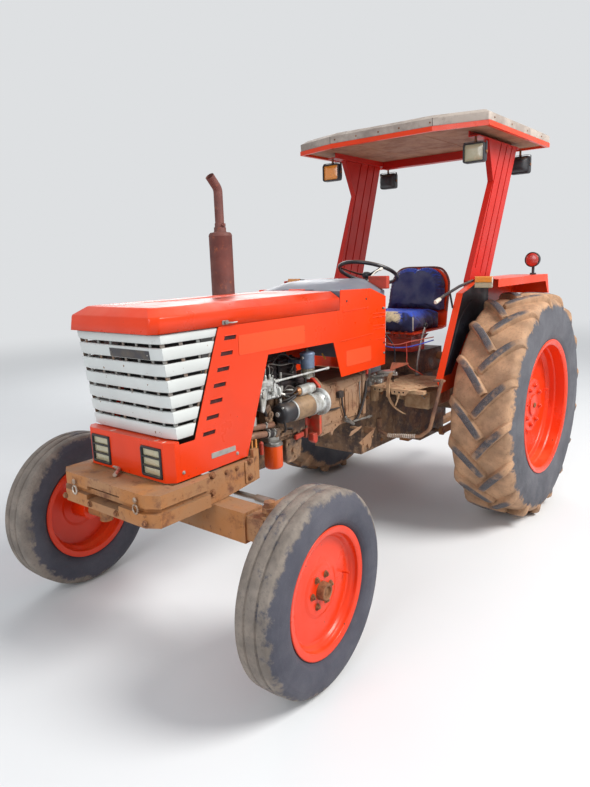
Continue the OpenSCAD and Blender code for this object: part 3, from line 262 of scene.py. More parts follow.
def rubbed(name, colour, second, rough=0.5, metallic=0.0, grain=0.0006, scale=60.0, **sockets):
    """A plain finish with blotches of a second colour and a fine grain."""
    g = Graph(name)
    base = g.mix(g.fade(g.noise(scale * 0.2, 6, 0.65), 0.4, 0.65), colour, second)
    base = g.mix(g.fade(g.noise(scale, 6, 0.7), 0.52, 0.72, 0.0, 0.5), base, shade(second, 0.6))
    return g.finish(base, g.fade(g.noise(scale * 0.4, 4), 0.3, 0.7, rough - 0.06, rough + 0.14),
        g.bump(g.noise(scale * 2.5, 4), grain, 0.5), metallic=metallic, **sockets)


def glass(name, colour, rough=0.12, dust=DUST, clear=0.0):
    """Moulded lens glass or plastic with fine ribs, a haze of dust and a bright skin."""
    g = Graph(name)
    base = g.mix(g.fade(g.noise(9.0, 6, 0.6), 0.42, 0.75, 0.05, 0.35), colour, dust)
    wave = g.nodes.new("ShaderNodeTexWave")
    wave.inputs["Scale"].default_value = 42.0
    g.links.new(g.place, wave.inputs["Vector"])
    ribs = g.bump(wave.outputs["Fac"], 0.0012, 0.35)
    return g.finish(base, g.fade(g.noise(20.0, 5), 0.35, 0.75, rough, rough + 0.25), ribs,
        coat_weight=0.8, coat_roughness=0.06, transmission_weight=clear)


def seat_vinyl_with_painted_light(name, torn):
    """Worn blue vinyl, bright blue on faces that point up and navy to slate on the rest, as painted light and
    shade; the cushion's front top is torn open down to cream foam.
    """
    g = Graph(name)
    bright, navy, slate, foam = rgb(44, 74, 178), rgb(30, 34, 84), rgb(62, 64, 96), rgb(226, 204, 166)
    up = g.fade(g.part(g.normal, "Z"), 0.45, 0.85)
    # painted light and shade: faces that point up turn bright blue, the others navy to slate
    base = g.mix(up, g.mix(g.fade(g.noise(9.0, 6), 0.35, 0.65), navy, slate), bright)
    base = g.mix(g.fade(g.noise(31.0, 7, 0.7), 0.56, 0.72, 0.0, 0.6), base, shade(slate, 0.6))
    height = g.sum("MULTIPLY", g.noise(420.0, 3), 0.4)
    if torn:
        y, x = g.part(g.place, "Y"), g.part(g.place, "X")
        front = g.fade(g.sum("ADD", y, g.sum("MULTIPLY", g.noise(13.0, 6, 0.7), 0.26)), AXLE_Y - 0.225,
            AXLE_Y - 0.205, 1.0, 0.0)
        left = g.fade(g.sum("ADD", x, g.sum("MULTIPLY", g.noise(11.0, 5, 0.7), 0.22)), 0.225, 0.245, 1.0, 0.0)
        hole = g.sum("MULTIPLY", g.sum("MULTIPLY", front, left), g.fade(g.part(g.normal, "Z"), 0.05, 0.3))
        base = g.mix(hole, base, g.mix(g.fade(g.noise(60.0, 5, 0.7), 0.35, 0.7), foam, shade(foam, 0.62)))
        height = g.sum("SUBTRACT", height, g.sum("MULTIPLY", hole, 3.0))
    folds = g.sum("ADD", height, g.sum("MULTIPLY", g.noise(14.0, 4, 0.5, (1.0, 2.4, 1.0)), 3.0))
    return g.finish(base, g.fade(g.noise(13.0, 4), 0.3, 0.7, 0.5, 0.8), g.bump(folds, 0.0016, 0.6))


ORANGE = rgb(226, 58, 8)
BAR_RED = rgb(188, 32, 20)
PRIMER = rgb(120, 52, 34)
SOIL = rgb(150, 122, 92)

# Colour, second colour, then roughness, metal, depth and scale of the grain where they are not the usual ones
RUBBED = {
    "tyre_rubber": ((72, 73, 78), (96, 95, 98), 0.8),
    "rusty_bolt": ((146, 100, 66), (104, 64, 42), 0.72, 0.2, 0.0012, 160.0),
    "roof_skin": ((172, 160, 150), (142, 130, 122), 0.62, 0.0, 0.001, 24.0),
    "ceiling_tan": ((160, 116, 86), (138, 94, 70), 0.7, 0.0, 0.0008, 30.0),
    "dark_gap": ((30, 26, 24), (44, 36, 30), 0.9),
    "soot": ((18, 16, 15), (32, 26, 22), 0.95),
    "lamp_silver": ((170, 170, 166), (140, 138, 130), 0.25, 0.8),
    "pump_silver": ((206, 208, 206), (158, 156, 148), 0.38, 0.45, 0.0008, 90.0),
    "dull_red": ((178, 58, 40), (122, 62, 44), 0.55, 0.0, 0.001, 60.0),
    "flange_red": ((214, 52, 34), (176, 96, 70), 0.5, 0.0, 0.001, 46.0),
    "black_rubber": ((30, 26, 28), (58, 48, 42), 0.6, 0.0, 0.0006, 80.0),
    "yellow_tab": ((232, 190, 40), (186, 140, 40), 0.5),
    "ochre_tab": ((226, 154, 70), (176, 112, 58), 0.6),
    "coolant_brown": ((134, 98, 74), (104, 68, 56), 0.55, 0.15, 0.0008, 70.0),
    "starter_tan": ((150, 122, 92), (122, 98, 76), 0.5, 0.1, 0.0006, 50.0),
    "brass": ((186, 146, 92), (140, 92, 66), 0.42, 0.6, 0.0006, 90.0),
    "tin_grey": ((112, 128, 152), (86, 98, 118), 0.42, 0.25, 0.0005, 50.0),
    "dried_mud": ((182, 150, 116), (146, 108, 78), 0.85, 0.0, 0.004, 40.0),
    "step_tan": ((150, 112, 84), (104, 74, 62), 0.7, 0.0, 0.001, 50.0),
    "worn_steel": ((204, 194, 182), (150, 120, 96), 0.35, 0.6, 0.0006, 120.0),
    "pedal_brown": ((168, 86, 58), (124, 74, 52), 0.7, 0.0, 0.001, 60.0),
    # the dark maroon in the side panels' louvre slots is painted shade
    "louvre_slot_shade": ((66, 20, 22), (38, 14, 16), 0.8),
    "dark_plate": ((62, 60, 64), (92, 84, 76), 0.45, 0.2),
    "wire_blue": ((46, 66, 170), (38, 44, 110), 0.5),
    "seat_rim": ((120, 52, 40), (96, 46, 44), 0.6),
    # the grey on the grille's straps and spacers is painted shade on white metal; the brown blotches are rust
    "strap_shade_and_rust": ((120, 122, 120), (116, 88, 66), 0.6, 0.0, 0.001, 60.0),
    "pale_plastic": ((214, 208, 196), (186, 176, 160), 0.45),
}

MATERIALS = {
    "body_red": gloss_paint("body_red", ORANGE, rgb(232, 126, 88), PRIMER),
    "bar_red": gloss_paint("bar_red", BAR_RED, rgb(196, 90, 76), PRIMER, rough=0.42, coat=0.05),
    "rim_orange": gloss_paint("rim_orange", rgb(226, 54, 10), rgb(214, 130, 84), rgb(92, 52, 34), dusty=0.3),
    "grille_white": gloss_paint("grille_white", rgb(206, 210, 208), rgb(186, 180, 164), rgb(124, 92, 62),
        rough=0.34, chipped=0.585),
    "filter_orange": gloss_paint("filter_orange", rgb(226, 84, 26), SOIL, PRIMER, dusty=0.5),
    "cowl_grey": gloss_paint("cowl_grey", rgb(112, 116, 128), rgb(150, 146, 140), rgb(84, 80, 80), coat=0.1,
        rough=0.42),
    "chassis_tan": chassis_paint("chassis_tan", rgb(160, 118, 82), rgb(170, 112, 62)),
    "case_tan": chassis_paint("case_tan", rgb(144, 116, 94), rgb(150, 114, 84)),
    "oily_cast": cast_with_soil_and_painted_shade(),
    "bare_metal": bare_steel(),
    "rusty_pipe": rust_skin(),
    "radiator_black": plastic("radiator_black", rgb(34, 33, 32), SOIL, 0.6),
    "lamp_black": plastic("lamp_black", rgb(36, 36, 40), SOIL),
    "wheel_black": plastic("wheel_black", rgb(28, 28, 34), SOIL, 0.35),
    "lamp_orange": plastic("lamp_orange", rgb(232, 132, 26), DUST, 0.25),
    "roof_grey": plastic("roof_grey", rgb(176, 168, 152), DUST, 0.6),
    "seat_blue": plastic("seat_blue", rgb(28, 40, 120), DUST, 0.8),
    "rear_tread": tread_rubber("rear_tread", rgb(70, 71, 78), rgb(92, 92, 98), rgb(186, 146, 112), 0.785, 0.7,
        REAR_HUB, 0.95),
    "front_tread": tread_rubber("front_tread", rgb(62, 63, 74), rgb(80, 80, 90), rgb(146, 134, 122), 0.52,
        0.424, FRONT_HUB, 0.85),
    "lens_clear": glass("lens_clear", rgb(168, 166, 138)),
    "lens_amber": glass("lens_amber", rgb(226, 138, 40)),
    "lens_red": glass("lens_red", rgb(176, 26, 24)),
    "bowl_glass": glass("bowl_glass", rgb(150, 146, 128), 0.15, DUST, 0.35),
    "faded_red": gloss_paint("faded_red", rgb(228, 76, 34), rgb(230, 120, 84), PRIMER, rough=0.5, coat=0.0),
    "seat_cover": seat_vinyl_with_painted_light("seat_cover", True),
    "back_cover": seat_vinyl_with_painted_light("back_cover", False),
}

for name, (first, second, *finish) in RUBBED.items():
    MATERIALS[name] = rubbed(name, rgb(*first), rgb(*second), *finish)

# The gearbox and rear axle under the cab take the dark cast finish as painted shade
PAINTED_SHADE_CASTINGS = {"gearbox": "oily_cast", "rear_axle": "oily_cast"}
for part in frame["record"]["subparts"]:
    piece = frame["nodes"][part["node"]]
    piece.data.materials.clear()
    piece.data.materials.append(MATERIALS[PAINTED_SHADE_CASTINGS.get(part["node"], part["material_slot"])])


CAB = Matrix.Translation((0.0, AXLE_Y, 0.0))
JOINTS = {joint["name"]: joint for joint in frame["joints"]}


# Shapes

def rounded(points, radius, steps=4, closed=True):
    """The polyline with its corners rounded; radius is one number, or one for each point."""
    points = [Vector(p) for p in points]
    count, made = len(points), []
    for i, corner in enumerate(points):
        reach = radius if isinstance(radius, (int, float)) else radius[i]
        if reach == 0 or (not closed and i in (0, count - 1)):
            made.append(corner)
            continue
        before, after = points[i - 1] - corner, points[(i + 1) % count] - corner
        angle = before.angle(after)
        cut = min(reach / math.tan(angle / 2), before.length * 0.49, after.length * 0.49)
        if angle > 3.1 or cut < 1e-5:
            made.append(corner)
            continue
        start, end = corner + before.normalized() * cut, corner + after.normalized() * cut
        for k in range(steps + 1):
            t = k / steps
            made.append(start * (1 - t) ** 2 + corner * 2 * t * (1 - t) + end * t ** 2)
    return made


def rectangle(x0, y0, x1, y1):
    """The four corners of a rectangle, in order."""
    return [(x0, y0), (x1, y0), (x1, y1), (x0, y1)]


def spline(points, steps=4):
    """A smooth curve through all the points."""
    points = [Vector(p) for p in points]
    ends = [points[0] * 2 - points[1]] + points + [points[-1] * 2 - points[-2]]
    made = []
    for a, b, c, d in zip(ends, ends[1:], ends[2:], ends[3:]):
        for k in range(steps):
            t = k / steps
            made.append(0.5 * (2 * b + (c - a) * t + (2 * a - 5 * b + 4 * c - d) * t * t
                + (3 * b - a - 3 * c + d) * t ** 3))
    return made + [points[-1]]


def inset(outline, depth):
    """A closed outline moved inward by the depth."""
    area = sum(a.x * b.y - b.x * a.y for a, b in zip(outline, outline[1:] + outline[:1]))
    turn = 1 if area > 0 else -1
    made = []
    for i, p in enumerate(outline):
        before = (p - outline[i - 1]).normalized()
        after = (outline[(i + 1) % len(outline)] - p).normalized()
        side = Vector((-before.y - after.y, before.x + after.x)) * turn
        share = max(side.length_squared / 2, 0.3)
        made.append(p + side * (depth / share))
    return made


class Shape:
    """Points and faces gathered for one piece, in metres; y counts from the rear axle."""

    def __init__(self, place=None):
        self.place = CAB if place is None else place
        self.points, self.faces, self.slots = [], [], []
        self.slot = 0

    def use(self, slot):
        self.slot = slot
        return self

    def add(self, points, faces):
        first = len(self.points)
        self.points += [self.place @ Vector(p) for p in points]
        self.faces += [[first + i for i in face] for face in faces]
        self.slots += [self.slot] * len(faces)
        return self

    def grid(self, rows, across=False, along=False, caps=False):
        """Faces between rows of points; across closes each row, along joins the last row to the first."""
        many, wide = len(rows), len(rows[0])
        faces = [(i * wide + j, i * wide + (j + 1) % wide, (i + 1) % many * wide + (j + 1) % wide,
            (i + 1) % many * wide + j)
            for i in range(many if along else many - 1) for j in range(wide if across else wide - 1)]
        if caps:
            faces += [list(range(wide)), [(many - 1) * wide + j for j in range(wide)]]
        return self.add([p for row in rows for p in row], faces)

    def turned(self, a, b, outline, steps=32, closed=False):
        """Revolved about the line from a towards b; the outline is (distance from a, radius)."""
        a, axis = Vector(a), (Vector(b) - Vector(a)).normalized()
        side = axis.orthogonal().normalized()
        up = axis.cross(side)
        first = 1 if outline[0][1] == 0 else 0
        last = len(outline) - (1 if outline[-1][1] == 0 else 0)
        rim = outline[first:last]
        wide, points, faces = len(rim), [], []
        for i in range(steps):
            turn = i * math.tau / steps
            spoke = side * math.cos(turn) + up * math.sin(turn)
            points += [a + axis * d + spoke * r for d, r in rim]
            k = (i + 1) % steps
            faces += [(i * wide + j, i * wide + (j + 1) % wide, k * wide + (j + 1) % wide, k * wide + j)
                for j in range(wide if closed else wide - 1)]
        for pole, j in ((outline[0], 0), (outline[-1], wide - 1)):
            if pole[1] == 0:
                points.append(a + axis * pole[0])
                faces += [(len(points) - 1, i * wide + j, (i + 1) % steps * wide + j) for i in range(steps)]
        return self.add(points, faces)

    def rod(self, a, b, r, steps=16, tip=None):
        length = (Vector(b) - Vector(a)).length
        edge = min(r, length) * 0.12
        tip = r if tip is None else tip
        return self.turned(a, b, [(0, 0), (0, r - edge), (edge, r), (length - edge, tip),
            (length, tip - edge), (length, 0)], steps)

    def tube(self, path, r, steps=12, caps=True):
        """A round tube along the path; r is one radius, or one for each point."""
        path = [Vector(p) for p in path]
        radii = [r] * len(path) if isinstance(r, (int, float)) else r
        last = len(path) - 1
        side, rows = None, []
        spokes = [(math.cos(k * math.tau / steps), math.sin(k * math.tau / steps)) for k in range(steps)]
        for i, p in enumerate(path):
            ahead = (path[min(i + 1, last)] - path[max(i - 1, 0)]).normalized()
            side = ahead.orthogonal() if side is None else side - ahead * side.dot(ahead)
            side.normalize()
            up = ahead.cross(side)
            rows.append([p + (side * c + up * s) * radii[i] for c, s in spokes])
        return self.grid(rows, across=True, caps=caps)

    def plate(self, outline, axis, low, high, edge=0.001):
        """A closed outline, thick along x, y or z from low to high, with small bevels on its rims."""
        outline = [Vector(p) for p in outline]
        order = {"x": lambda p, w: (w, p.x, p.y), "y": lambda p, w: (p.x, w, p.y), "z": lambda p,
            w: (p.x, p.y, w)}[axis]
        small = inset(outline, edge)
        rows = [[order(p, w) for p in ring] for ring, w in
            ((small, low), (outline, low + edge), (outline, high - edge), (small, high))]
        return self.grid(rows, across=True, caps=True)

    def block(self, low, high, edge=0.002):
        """A box whose edges are bevelled."""
        (x0, y0, z0), (x1, y1, z1) = low, high
        ring = [(x0 + edge, y0), (x1 - edge, y0), (x1, y0 + edge), (x1, y1 - edge), (x1 - edge, y1),
            (x0 + edge, y1), (x0, y1 - edge), (x0, y0 + edge)]
        return self.plate(ring, "z", z0, z1, edge)

    def bolt(self, place, normal, size=0.012, washer=True):
        """A hexagon head with a small crown, and the washer under it."""
        place, normal = Vector(place), Vector(normal).normalized()
        if washer:
            self.turned(place, place + normal, [(-0.001, size * 1.35), (size * 0.22, size * 1.35),
                (size * 0.26, size * 1.25), (size * 0.26, 0)], 14)
        self.turned(place, place + normal, [(0, size), (size * 0.85, size), (size * 1.02, size * 0.84),
            (size * 1.02, 0)], 6)
        return self

    def build(self, name, body, *materials, replaces=(), smooth=38):
        mesh = bpy.data.meshes.new(name)
        mesh.from_pydata([tuple(p) for p in self.points], [], self.faces)
        mesh.polygons.foreach_set("material_index", self.slots)
        mesh.polygons.foreach_set("use_smooth", [True] * len(self.faces))
        shell = bmesh.new()
        shell.from_mesh(mesh)
        bmesh.ops.recalc_face_normals(shell, faces=shell.faces)
        shell.to_mesh(mesh)
        shell.free()
        mesh.set_sharp_from_angle(angle=math.radians(smooth))
        for material in materials:
            mesh.materials.append(MATERIALS[material])
        piece = bpy.data.objects.new(name, mesh)
        bpy.context.scene.collection.objects.link(piece)
        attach(piece, body)
        if replaces:
            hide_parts(*replaces)
        return piece


# Wheels, in each wheel's own frame: x outward, y to the rear, z up

def wheel_place(joint, side):
    axis = Vector(JOINTS[joint]["axis"])
    turn = Matrix((axis * side, Vector((0, 0, 1)).cross(axis), Vector((0, 0, 1)))).transposed()
    return Matrix.Translation(JOINTS[joint]["pos_m"]) @ turn.to_4x4()


HUB = ((0, 0, 0), (1, 0, 0))
REAR_SIDE = [(0.1887, 0.434), (0.1895, 0.466), (0.193, 0.474), (0.201, 0.49), (0.2085, 0.52), (0.2135, 0.555),
    (0.215, 0.585), (0.214, 0.618), (0.21, 0.652), (0.2035, 0.685), (0.193, 0.712), (0.176, 0.731),
    (0.15, 0.74), (0.1, 0.7445), (0.05, 0.7465), (0.0, 0.747)]
# Stations of a lug from the middle outward and down the shoulder: x, r, base_x, base_r
LUG = [(-0.0235, 0.772, -0.034, 0.735), (-0.014, 0.7795, -0.02, 0.735), (0.012, 0.7835, 0.012, 0.735),
    (0.045, 0.7845, 0.045, 0.735), (0.08, 0.7845, 0.08, 0.734), (0.115, 0.7835, 0.113, 0.732),
    (0.145, 0.78, 0.139, 0.728), (0.168, 0.773, 0.156, 0.722), (0.186, 0.758, 0.166, 0.712),
    (0.1985, 0.733, 0.173, 0.7), (0.205, 0.703, 0.179, 0.684), (0.2085, 0.67, 0.186, 0.662),
    (0.2092, 0.648, 0.19, 0.645)]
LUG_COUNT, LUG_START = 17, 10.8
# Half a lug's width, how far its foot spreads, and the radius at which its turn is measured
LUG_HALF, LUG_SPREAD, LUG_R = 0.0235, 0.0085, 0.78


def lug_turn(x):
    """Turn in degrees of a lug's middle line, against its place on the tread."""
    t = x - 0.092
    return 80 * t - 130 * t * t


# Raised rings on the tyres' walls: radius, width, height
REAR_RINGS = ((0.5, 0.004, 0.0022), (0.64, 0.003, 0.0016))
FRONT_RINGS = ((0.397, 0.0022, 0.0013), (0.314, 0.0022, 0.0011), (0.418, 0.0015, 0.0009))


def ring_lift(r, rings):
    """How far the rings stand out of the wall at the radius r."""
    return sum(high * math.exp(-((r - at) / wide) ** 2) for at, wide, high in rings)


def rear_tyre(name, joint, side, body):
    shape = Shape(wheel_place(joint, side))
    half = spline(REAR_SIDE, 3)
    ridges = []
    for p in half:
        lift = ring_lift(p.y, REAR_RINGS)
        ridges.append((p.x + lift, p.y))
    outline = ridges + [(-x, r) for x, r in reversed(ridges[:-1])]
    shape.turned(*HUB, outline, 132)
    rng = np.random.default_rng(7)
    for row in (0, 1):
        for i in range(LUG_COUNT):
            shape.grid(lug(row, i, rng), caps=True)
    return shape.build(name, body, "rear_tread", replaces=(name.replace("tread", "tyre"),), smooth=50)


def lug(row, i, rng):
    """One worn lug as rows of points across it."""
    mirror = -1 if row else 1
    start = LUG_START + (i + row / 2) * 360 / LUG_COUNT
    wear, rows = rng.uniform(0.0, 0.0012), []
    for k, (x, r, base_x, base_r) in enumerate(LUG):
        ahead, behind = LUG[min(k + 1, len(LUG) - 1)], LUG[max(k - 1, 0)]
        slope = math.radians(lug_turn(ahead[0]) - lug_turn(behind[0])) * LUG_R
        run = math.hypot(ahead[0] - behind[0], ahead[1] - behind[1])
        length = math.hypot(run, slope)
        lean_x, lean_arc = slope / length, run / length
        width = LUG_HALF if k else 0.019
        low = LUG_SPREAD
        cross = [(-width - low, 1.0), (-width - low * 0.4, 0.42), (-width, 0.13), (-width + 0.003, 0.04),
            (-width * 0.45, 0.0), (width * 0.45, 0.0), (width - 0.003, 0.04), (width, 0.13),
            (width + low * 0.4, 0.42), (width + low, 1.0)]
        points = []
        for w, depth in cross:
            px = x + (base_x - x) * depth - lean_x * w
            pr = r + (base_r - r) * depth - wear
            turn = math.radians(start - lug_turn(x)) - lean_arc * w / LUG_R
            points.append((px * mirror, -pr * math.sin(turn), pr * math.cos(turn)))
        rows.append(points)
    return rows


FRONT_SIDE = [(0.0707, 0.262), (0.0712, 0.2865), (0.076, 0.2925), (0.087, 0.301), (0.0965, 0.317),
    (0.1015, 0.337), (0.1025, 0.353), (0.1005, 0.379), (0.0945, 0.403), (0.086, 0.423), (0.0775, 0.434)]
FRONT_TREAD = [(0.0725, 0.439), (0.0685, 0.4412), (0.05, 0.4425), (0.0365, 0.4432), (0.034, 0.442),
    (0.0315, 0.436), (0.028, 0.4345), (0.0245, 0.436), (0.0222, 0.4425), (0.0195, 0.444), (0.0, 0.4448)]


def front_tyre(name, joint, side, body):
    shape = Shape(wheel_place(joint, side))
    half = []
    for p in spline(FRONT_SIDE, 4):
        lift = ring_lift(p.y, FRONT_RINGS)
        half.append((p.x + lift, p.y))
    half += FRONT_TREAD
    outline = half + [(-x, r) for x, r in reversed(half[:-1])]
    shape.turned(*HUB, outline, 144)
    return shape.build(name, body, "front_tread", replaces=(name.replace("tread", "tyre"),), smooth=50)


REAR_RIM = [(0.104, 0), (0.104, 0.074), (0.092, 0.074), (0.092, 0.185), (0.058, 0.199), (0.058, 0.388),
    (0.066, 0.392), (0.078, 0.414), (0.112, 0.4175), (0.122, 0.424), (0.186, 0.4265), (0.1925, 0.436),
    (0.1985, 0.456), (0.1965, 0.4665), (0.189, 0.466), (0.189, 0.434), (0.072, 0.434), (0.058, 0.4),
    (-0.058, 0.4), (-0.072, 0.434), (-0.189, 0.434), (-0.189, 0.466), (-0.198, 0.466), (-0.196, 0.424),
    (-0.076, 0.424), (-0.058, 0.39), (0.044, 0.39), (0.044, 0.195), (0.078, 0.181), (0.078, 0.1),
    (-0.199, 0.1), (-0.199, 0)]
FRONT_RIM = [(0.038, 0), (0.038, 0.106), (0.0335, 0.122), (0.032, 0.15), (0.032, 0.222), (0.036, 0.2325),
    (0.046, 0.2395), (0.052, 0.248), (0.06, 0.2515), (0.0735, 0.2535), (0.0765, 0.262), (0.08, 0.28),
    (0.0788, 0.2862), (0.0712, 0.286), (0.071, 0.26), (0.046, 0.26), (0.032, 0.238), (-0.032, 0.238),
    (-0.046, 0.26), (-0.071, 0.26), (-0.071, 0.286), (-0.08, 0.286), (-0.0785, 0.252), (-0.05, 0.252),
    (-0.032, 0.23), (0.018, 0.23), (0.018, 0.122), (0.022, 0.108), (0.022, 0.06), (-0.099, 0.06), (-0.099, 0)]


def rim(name, joint, side, body, outline, steps, bolts):
    shape = Shape(wheel_place(joint, side))
    ring = [(p.x, max(p.y, 0.0)) for p in rounded(outline, 0.0045, 3, closed=False)]
    shape.turned(*HUB, ring, steps)
    bolts(shape)
    return shape.build(name, body, "rim_orange", "rusty_bolt", replaces=(name.replace("disc", "rim"),),
        smooth=42)


def wheel_bolts(shape, count, start, face, circle, size, stud, stud_r, steps):
    """Bolts on a circle round the hub, each with the end of its stud; start is in degrees."""
    for i in range(count):
        turn = math.radians(360 // count * i + start)
        y, z = circle * math.sin(turn), circle * math.cos(turn)
        shape.bolt((face, y, z), (1, 0, 0), size)
        shape.rod((stud[0], y, z), (stud[1], y, z), stud_r, steps)


def front_bolts(shape):
    wheel_bolts(shape.use(1), 6, 30, 0.038, 0.07, 0.0115, (0.045, 0.0545), 0.0055, 10)
    shape.turned(*HUB, [(0.036, 0.041), (0.064, 0.039), (0.07, 0.0365), (0.072, 0.032), (0.07, 0.026),
        (0.061, 0.0235), (0.06, 0)], 32)
    shape.use(0).rod((0.03, 0.19, 0.0), (0.062, 0.196, 0.0), 0.0055, 10)


def rear_bolts(shape):
    wheel_bolts(shape, 8, 12, 0.092, 0.138, 0.0155, (0.1, 0.113), 0.009, 12)
    shape.use(1).rod((0.103, 0, 0), (0.112, 0, 0), 0.018, 14)
    shape.use(0).rod((0.05, 0.33, 0.05), (0.095, 0.345, 0.05), 0.006, 10)


for tag, side in (("left", 1), ("right", -1)):
    body = "wheel_rear_" + tag
    rear_tyre("rear_tread_" + tag, "roll_rear_" + tag, side, body)
    rim("rear_disc_" + tag, "roll_rear_" + tag, side, body, REAR_RIM, 96, rear_bolts)
    body = "wheel_front_" + tag
    front_tyre("front_tread_" + tag, "roll_front_" + tag, side, body)
    rim("front_disc_" + tag, "roll_front_" + tag, side, body, FRONT_RIM, 96, front_bolts)


# Canopy: skin with its seams and rivets, and the panels of its ceiling

CANOPY_Z, CANOPY_FRONT, CANOPY_REAR, CANOPY_HALF, CANOPY_NOSE = 2.615, -0.47, 0.8, 0.745, 0.4


def canopy_outline(inward):
    side = CANOPY_HALF - inward
    return [(-CANOPY_NOSE, CANOPY_FRONT + inward), (CANOPY_NOSE, CANOPY_FRONT + inward),
        (side, CANOPY_FRONT + 0.09 + inward / 2), (side, CANOPY_REAR - inward), (-side, CANOPY_REAR - inward),
        (-side, CANOPY_FRONT + 0.09 + inward / 2)]


def closer(outline, reach):
    """The outline with points no further apart than the reach."""
    made = []
    for a, b in zip(outline, outline[1:] + outline[:1]):
        parts = max(1, math.ceil((b - a).length / reach))
        made += [a + (b - a) * k / parts for k in range(parts)]
    return made


def canopy_skin():
    shape = Shape()
    ring = closer(rounded(canopy_outline(0.0), 0.016, 3), 0.05)
    base = CANOPY_Z + 0.03

    low, high = Vector((min(p.x for p in ring), min(p.y for p in ring))), Vector((max(p.x for p in ring),
        max(p.y for p in ring)))
    middle, half = (low + high) / 2, (high - low) / 2

    def drawn_in(inward):
        return [Vector((middle.x + (p.x - middle.x) * (1 - inward / half.x),
            middle.y + (p.y - middle.y) * (1 - inward / half.y))) for p in ring]

    def level(inward, z, wave):
        loop = drawn_in(inward)
        return [(p.x, p.y, z + wave * noise.noise(Vector((p.x * 2.2, p.y * 2.2, 0.3)))) for p in loop]

    rows = [level(0.004, base + 0.0003, 0), level(0.001, base + 0.002, 0), level(0.0, base + 0.046, 0),
        level(0.002, base + 0.0495, 0), level(0.006, base + 0.0515, 0.001),
        level(0.044, base + 0.0745, 0.003), level(0.05, base + 0.0765, 0.003)]
    loop = drawn_in(0.05)
    for share in (0.92, 0.8, 0.66, 0.5, 0.34, 0.18, 0.04):
        row = [middle + (p - middle) * share for p in loop]
        rows.append([(p.x, p.y, base + 0.0765 + 0.0035 * noise.noise(Vector((p.x * 2.2, p.y * 2.2, 0.3))))
            for p in row])
    shape.grid(rows, across=True, caps=True)
    shape.use(1)
    for x in (-0.36, -0.18, 0.0, 0.16, 0.385):
        rivet(shape, (x, CANOPY_FRONT, base + 0.024), (0, -1, 0))
    for y in (-0.3, 0.0, 0.3, 0.6):
        for side in (-1, 1):
            rivet(shape, (side * CANOPY_HALF, y, base + 0.024), (side, 0, 0))
    shape.use(2)
    for side in (-1, 1):
        shape.block((side * 0.402 - 0.0015, CANOPY_FRONT - 0.0004, base + 0.001),
            (side * 0.402 + 0.0015, CANOPY_FRONT + 0.004, base + 0.05), 0.0003)
    return shape.build("canopy_skin", "chassis", "roof_skin", "rusty_bolt", "dark_gap",
        replaces=("canopy_roof",))


def rivet(shape, place, normal, r=0.006):
    place, normal = Vector(place), Vector(normal)
    shape.turned(place, place + normal, [(0, r), (r * 0.3, r * 0.92), (r * 0.55, r * 0.6), (r * 0.65, 0)], 10)


def canopy_ceiling():
    shape = Shape()
    low, high = CANOPY_Z + 0.0145, CANOPY_Z + 0.0178
    for x0, x1 in ((-0.715, -0.262), (-0.256, 0.256), (0.262, 0.715)):
        for y0, y1 in ((-0.352, 0.196), (0.202, 0.77)):
            shape.block((x0, y0, low), (x1, y1, high), 0.0008)
    shape.block((-0.38, -0.44, low), (0.38, -0.358, high), 0.0008)
    return shape.build("canopy_ceiling", "chassis", "ceiling_tan")


canopy_skin()
canopy_ceiling()


# Exhaust with its muffler, clamp and curved tip

EXHAUST = (-0.42, -1.608)


def exhaust():
    x, y = EXHAUST
    shape = Shape()
    path = rounded([(-0.13, y, 1.24), (x, y, 1.24), (x, y, 1.6)], 0.06, 8, closed=False)
    shape.tube(path, 0.0275, 20)
    shape.turned((x, y, 0), (x, y, 1), [(1.592, 0.03), (1.6, 0.06), (1.606, 0.0685), (1.618, 0.07),
        (1.6205, 0.0715), (1.6235, 0.07), (1.985, 0.07), (1.988, 0.0718), (1.9915, 0.07), (2.0, 0.0685),
        (2.009, 0.06), (2.012, 0.04), (2.018, 0.0365), (2.04, 0.036), (2.041, 0.033), (2.041, 0.0275)], 40)
    tip = rounded([(x, y, 2.03), (x, y, 2.262), (x, y - 0.062, 2.33)], 0.06, 8, closed=False)
    shape.tube(tip, 0.027, 20, caps=False)
    shape.tube([tip[-1], tip[-1] - (tip[-1] - tip[-2]).normalized() * 0.03], [0.0255, 0.0245], 20, caps=False)
    shape.block((-0.165, -2.17 + 0.09, 1.205), (-0.1103, -2.17 + 0.59, 1.27), 0.008)
    for z in (1.575, 2.052):
        shape.turned((x, y, z - 0.012), (x, y, z + 0.012), [(0, 0.0275), (0.001, 0.0305), (0.023, 0.0305),
            (0.024, 0.0275)], 28)
        shape.bolt((x + 0.033, y - 0.01, z), (0, -1, 0), 0.006, washer=False)
        shape.block((x + 0.027, y - 0.01, z - 0.01), (x + 0.042, y + 0.008, z + 0.01), 0.001)
    shape.use(1).turned(tip[-1], tip[-1] - (tip[-1] - tip[-2]), [(0.028, 0.0245), (0.03, 0)], 20)
    return shape.build("exhaust_pipe", "chassis", "rusty_pipe", "soot", replaces=("exhaust",))


exhaust()


# Lamps

def lamp_frame(shape, centre, half_x, half_z, front, back, corner, rim_w):
    """A rounded square housing open to the front, with its rim and inner walls; y grows to the rear."""
    cx, cz = centre

    def ring(inward, y):
        loop = rounded(rectangle(cx - half_x + inward, cz - half_z + inward, cx + half_x - inward,
            cz + half_z - inward), max(corner - inward, 0.004), 5)
        return [(p.x, y, p.y) for p in loop]

    rows = [ring(0.012, back), ring(0.002, back - 0.004), ring(0.0, back - 0.01), ring(0.0, front + 0.006),
        ring(0.0015, front + 0.0015), ring(0.004, front), ring(rim_w - 0.002, front),
        ring(rim_w, front + 0.002), ring(rim_w + 0.0015, front + 0.016)]
    shape.grid(rows, across=True)
    shape.add(rows[0], [list(range(len(rows[0])))])


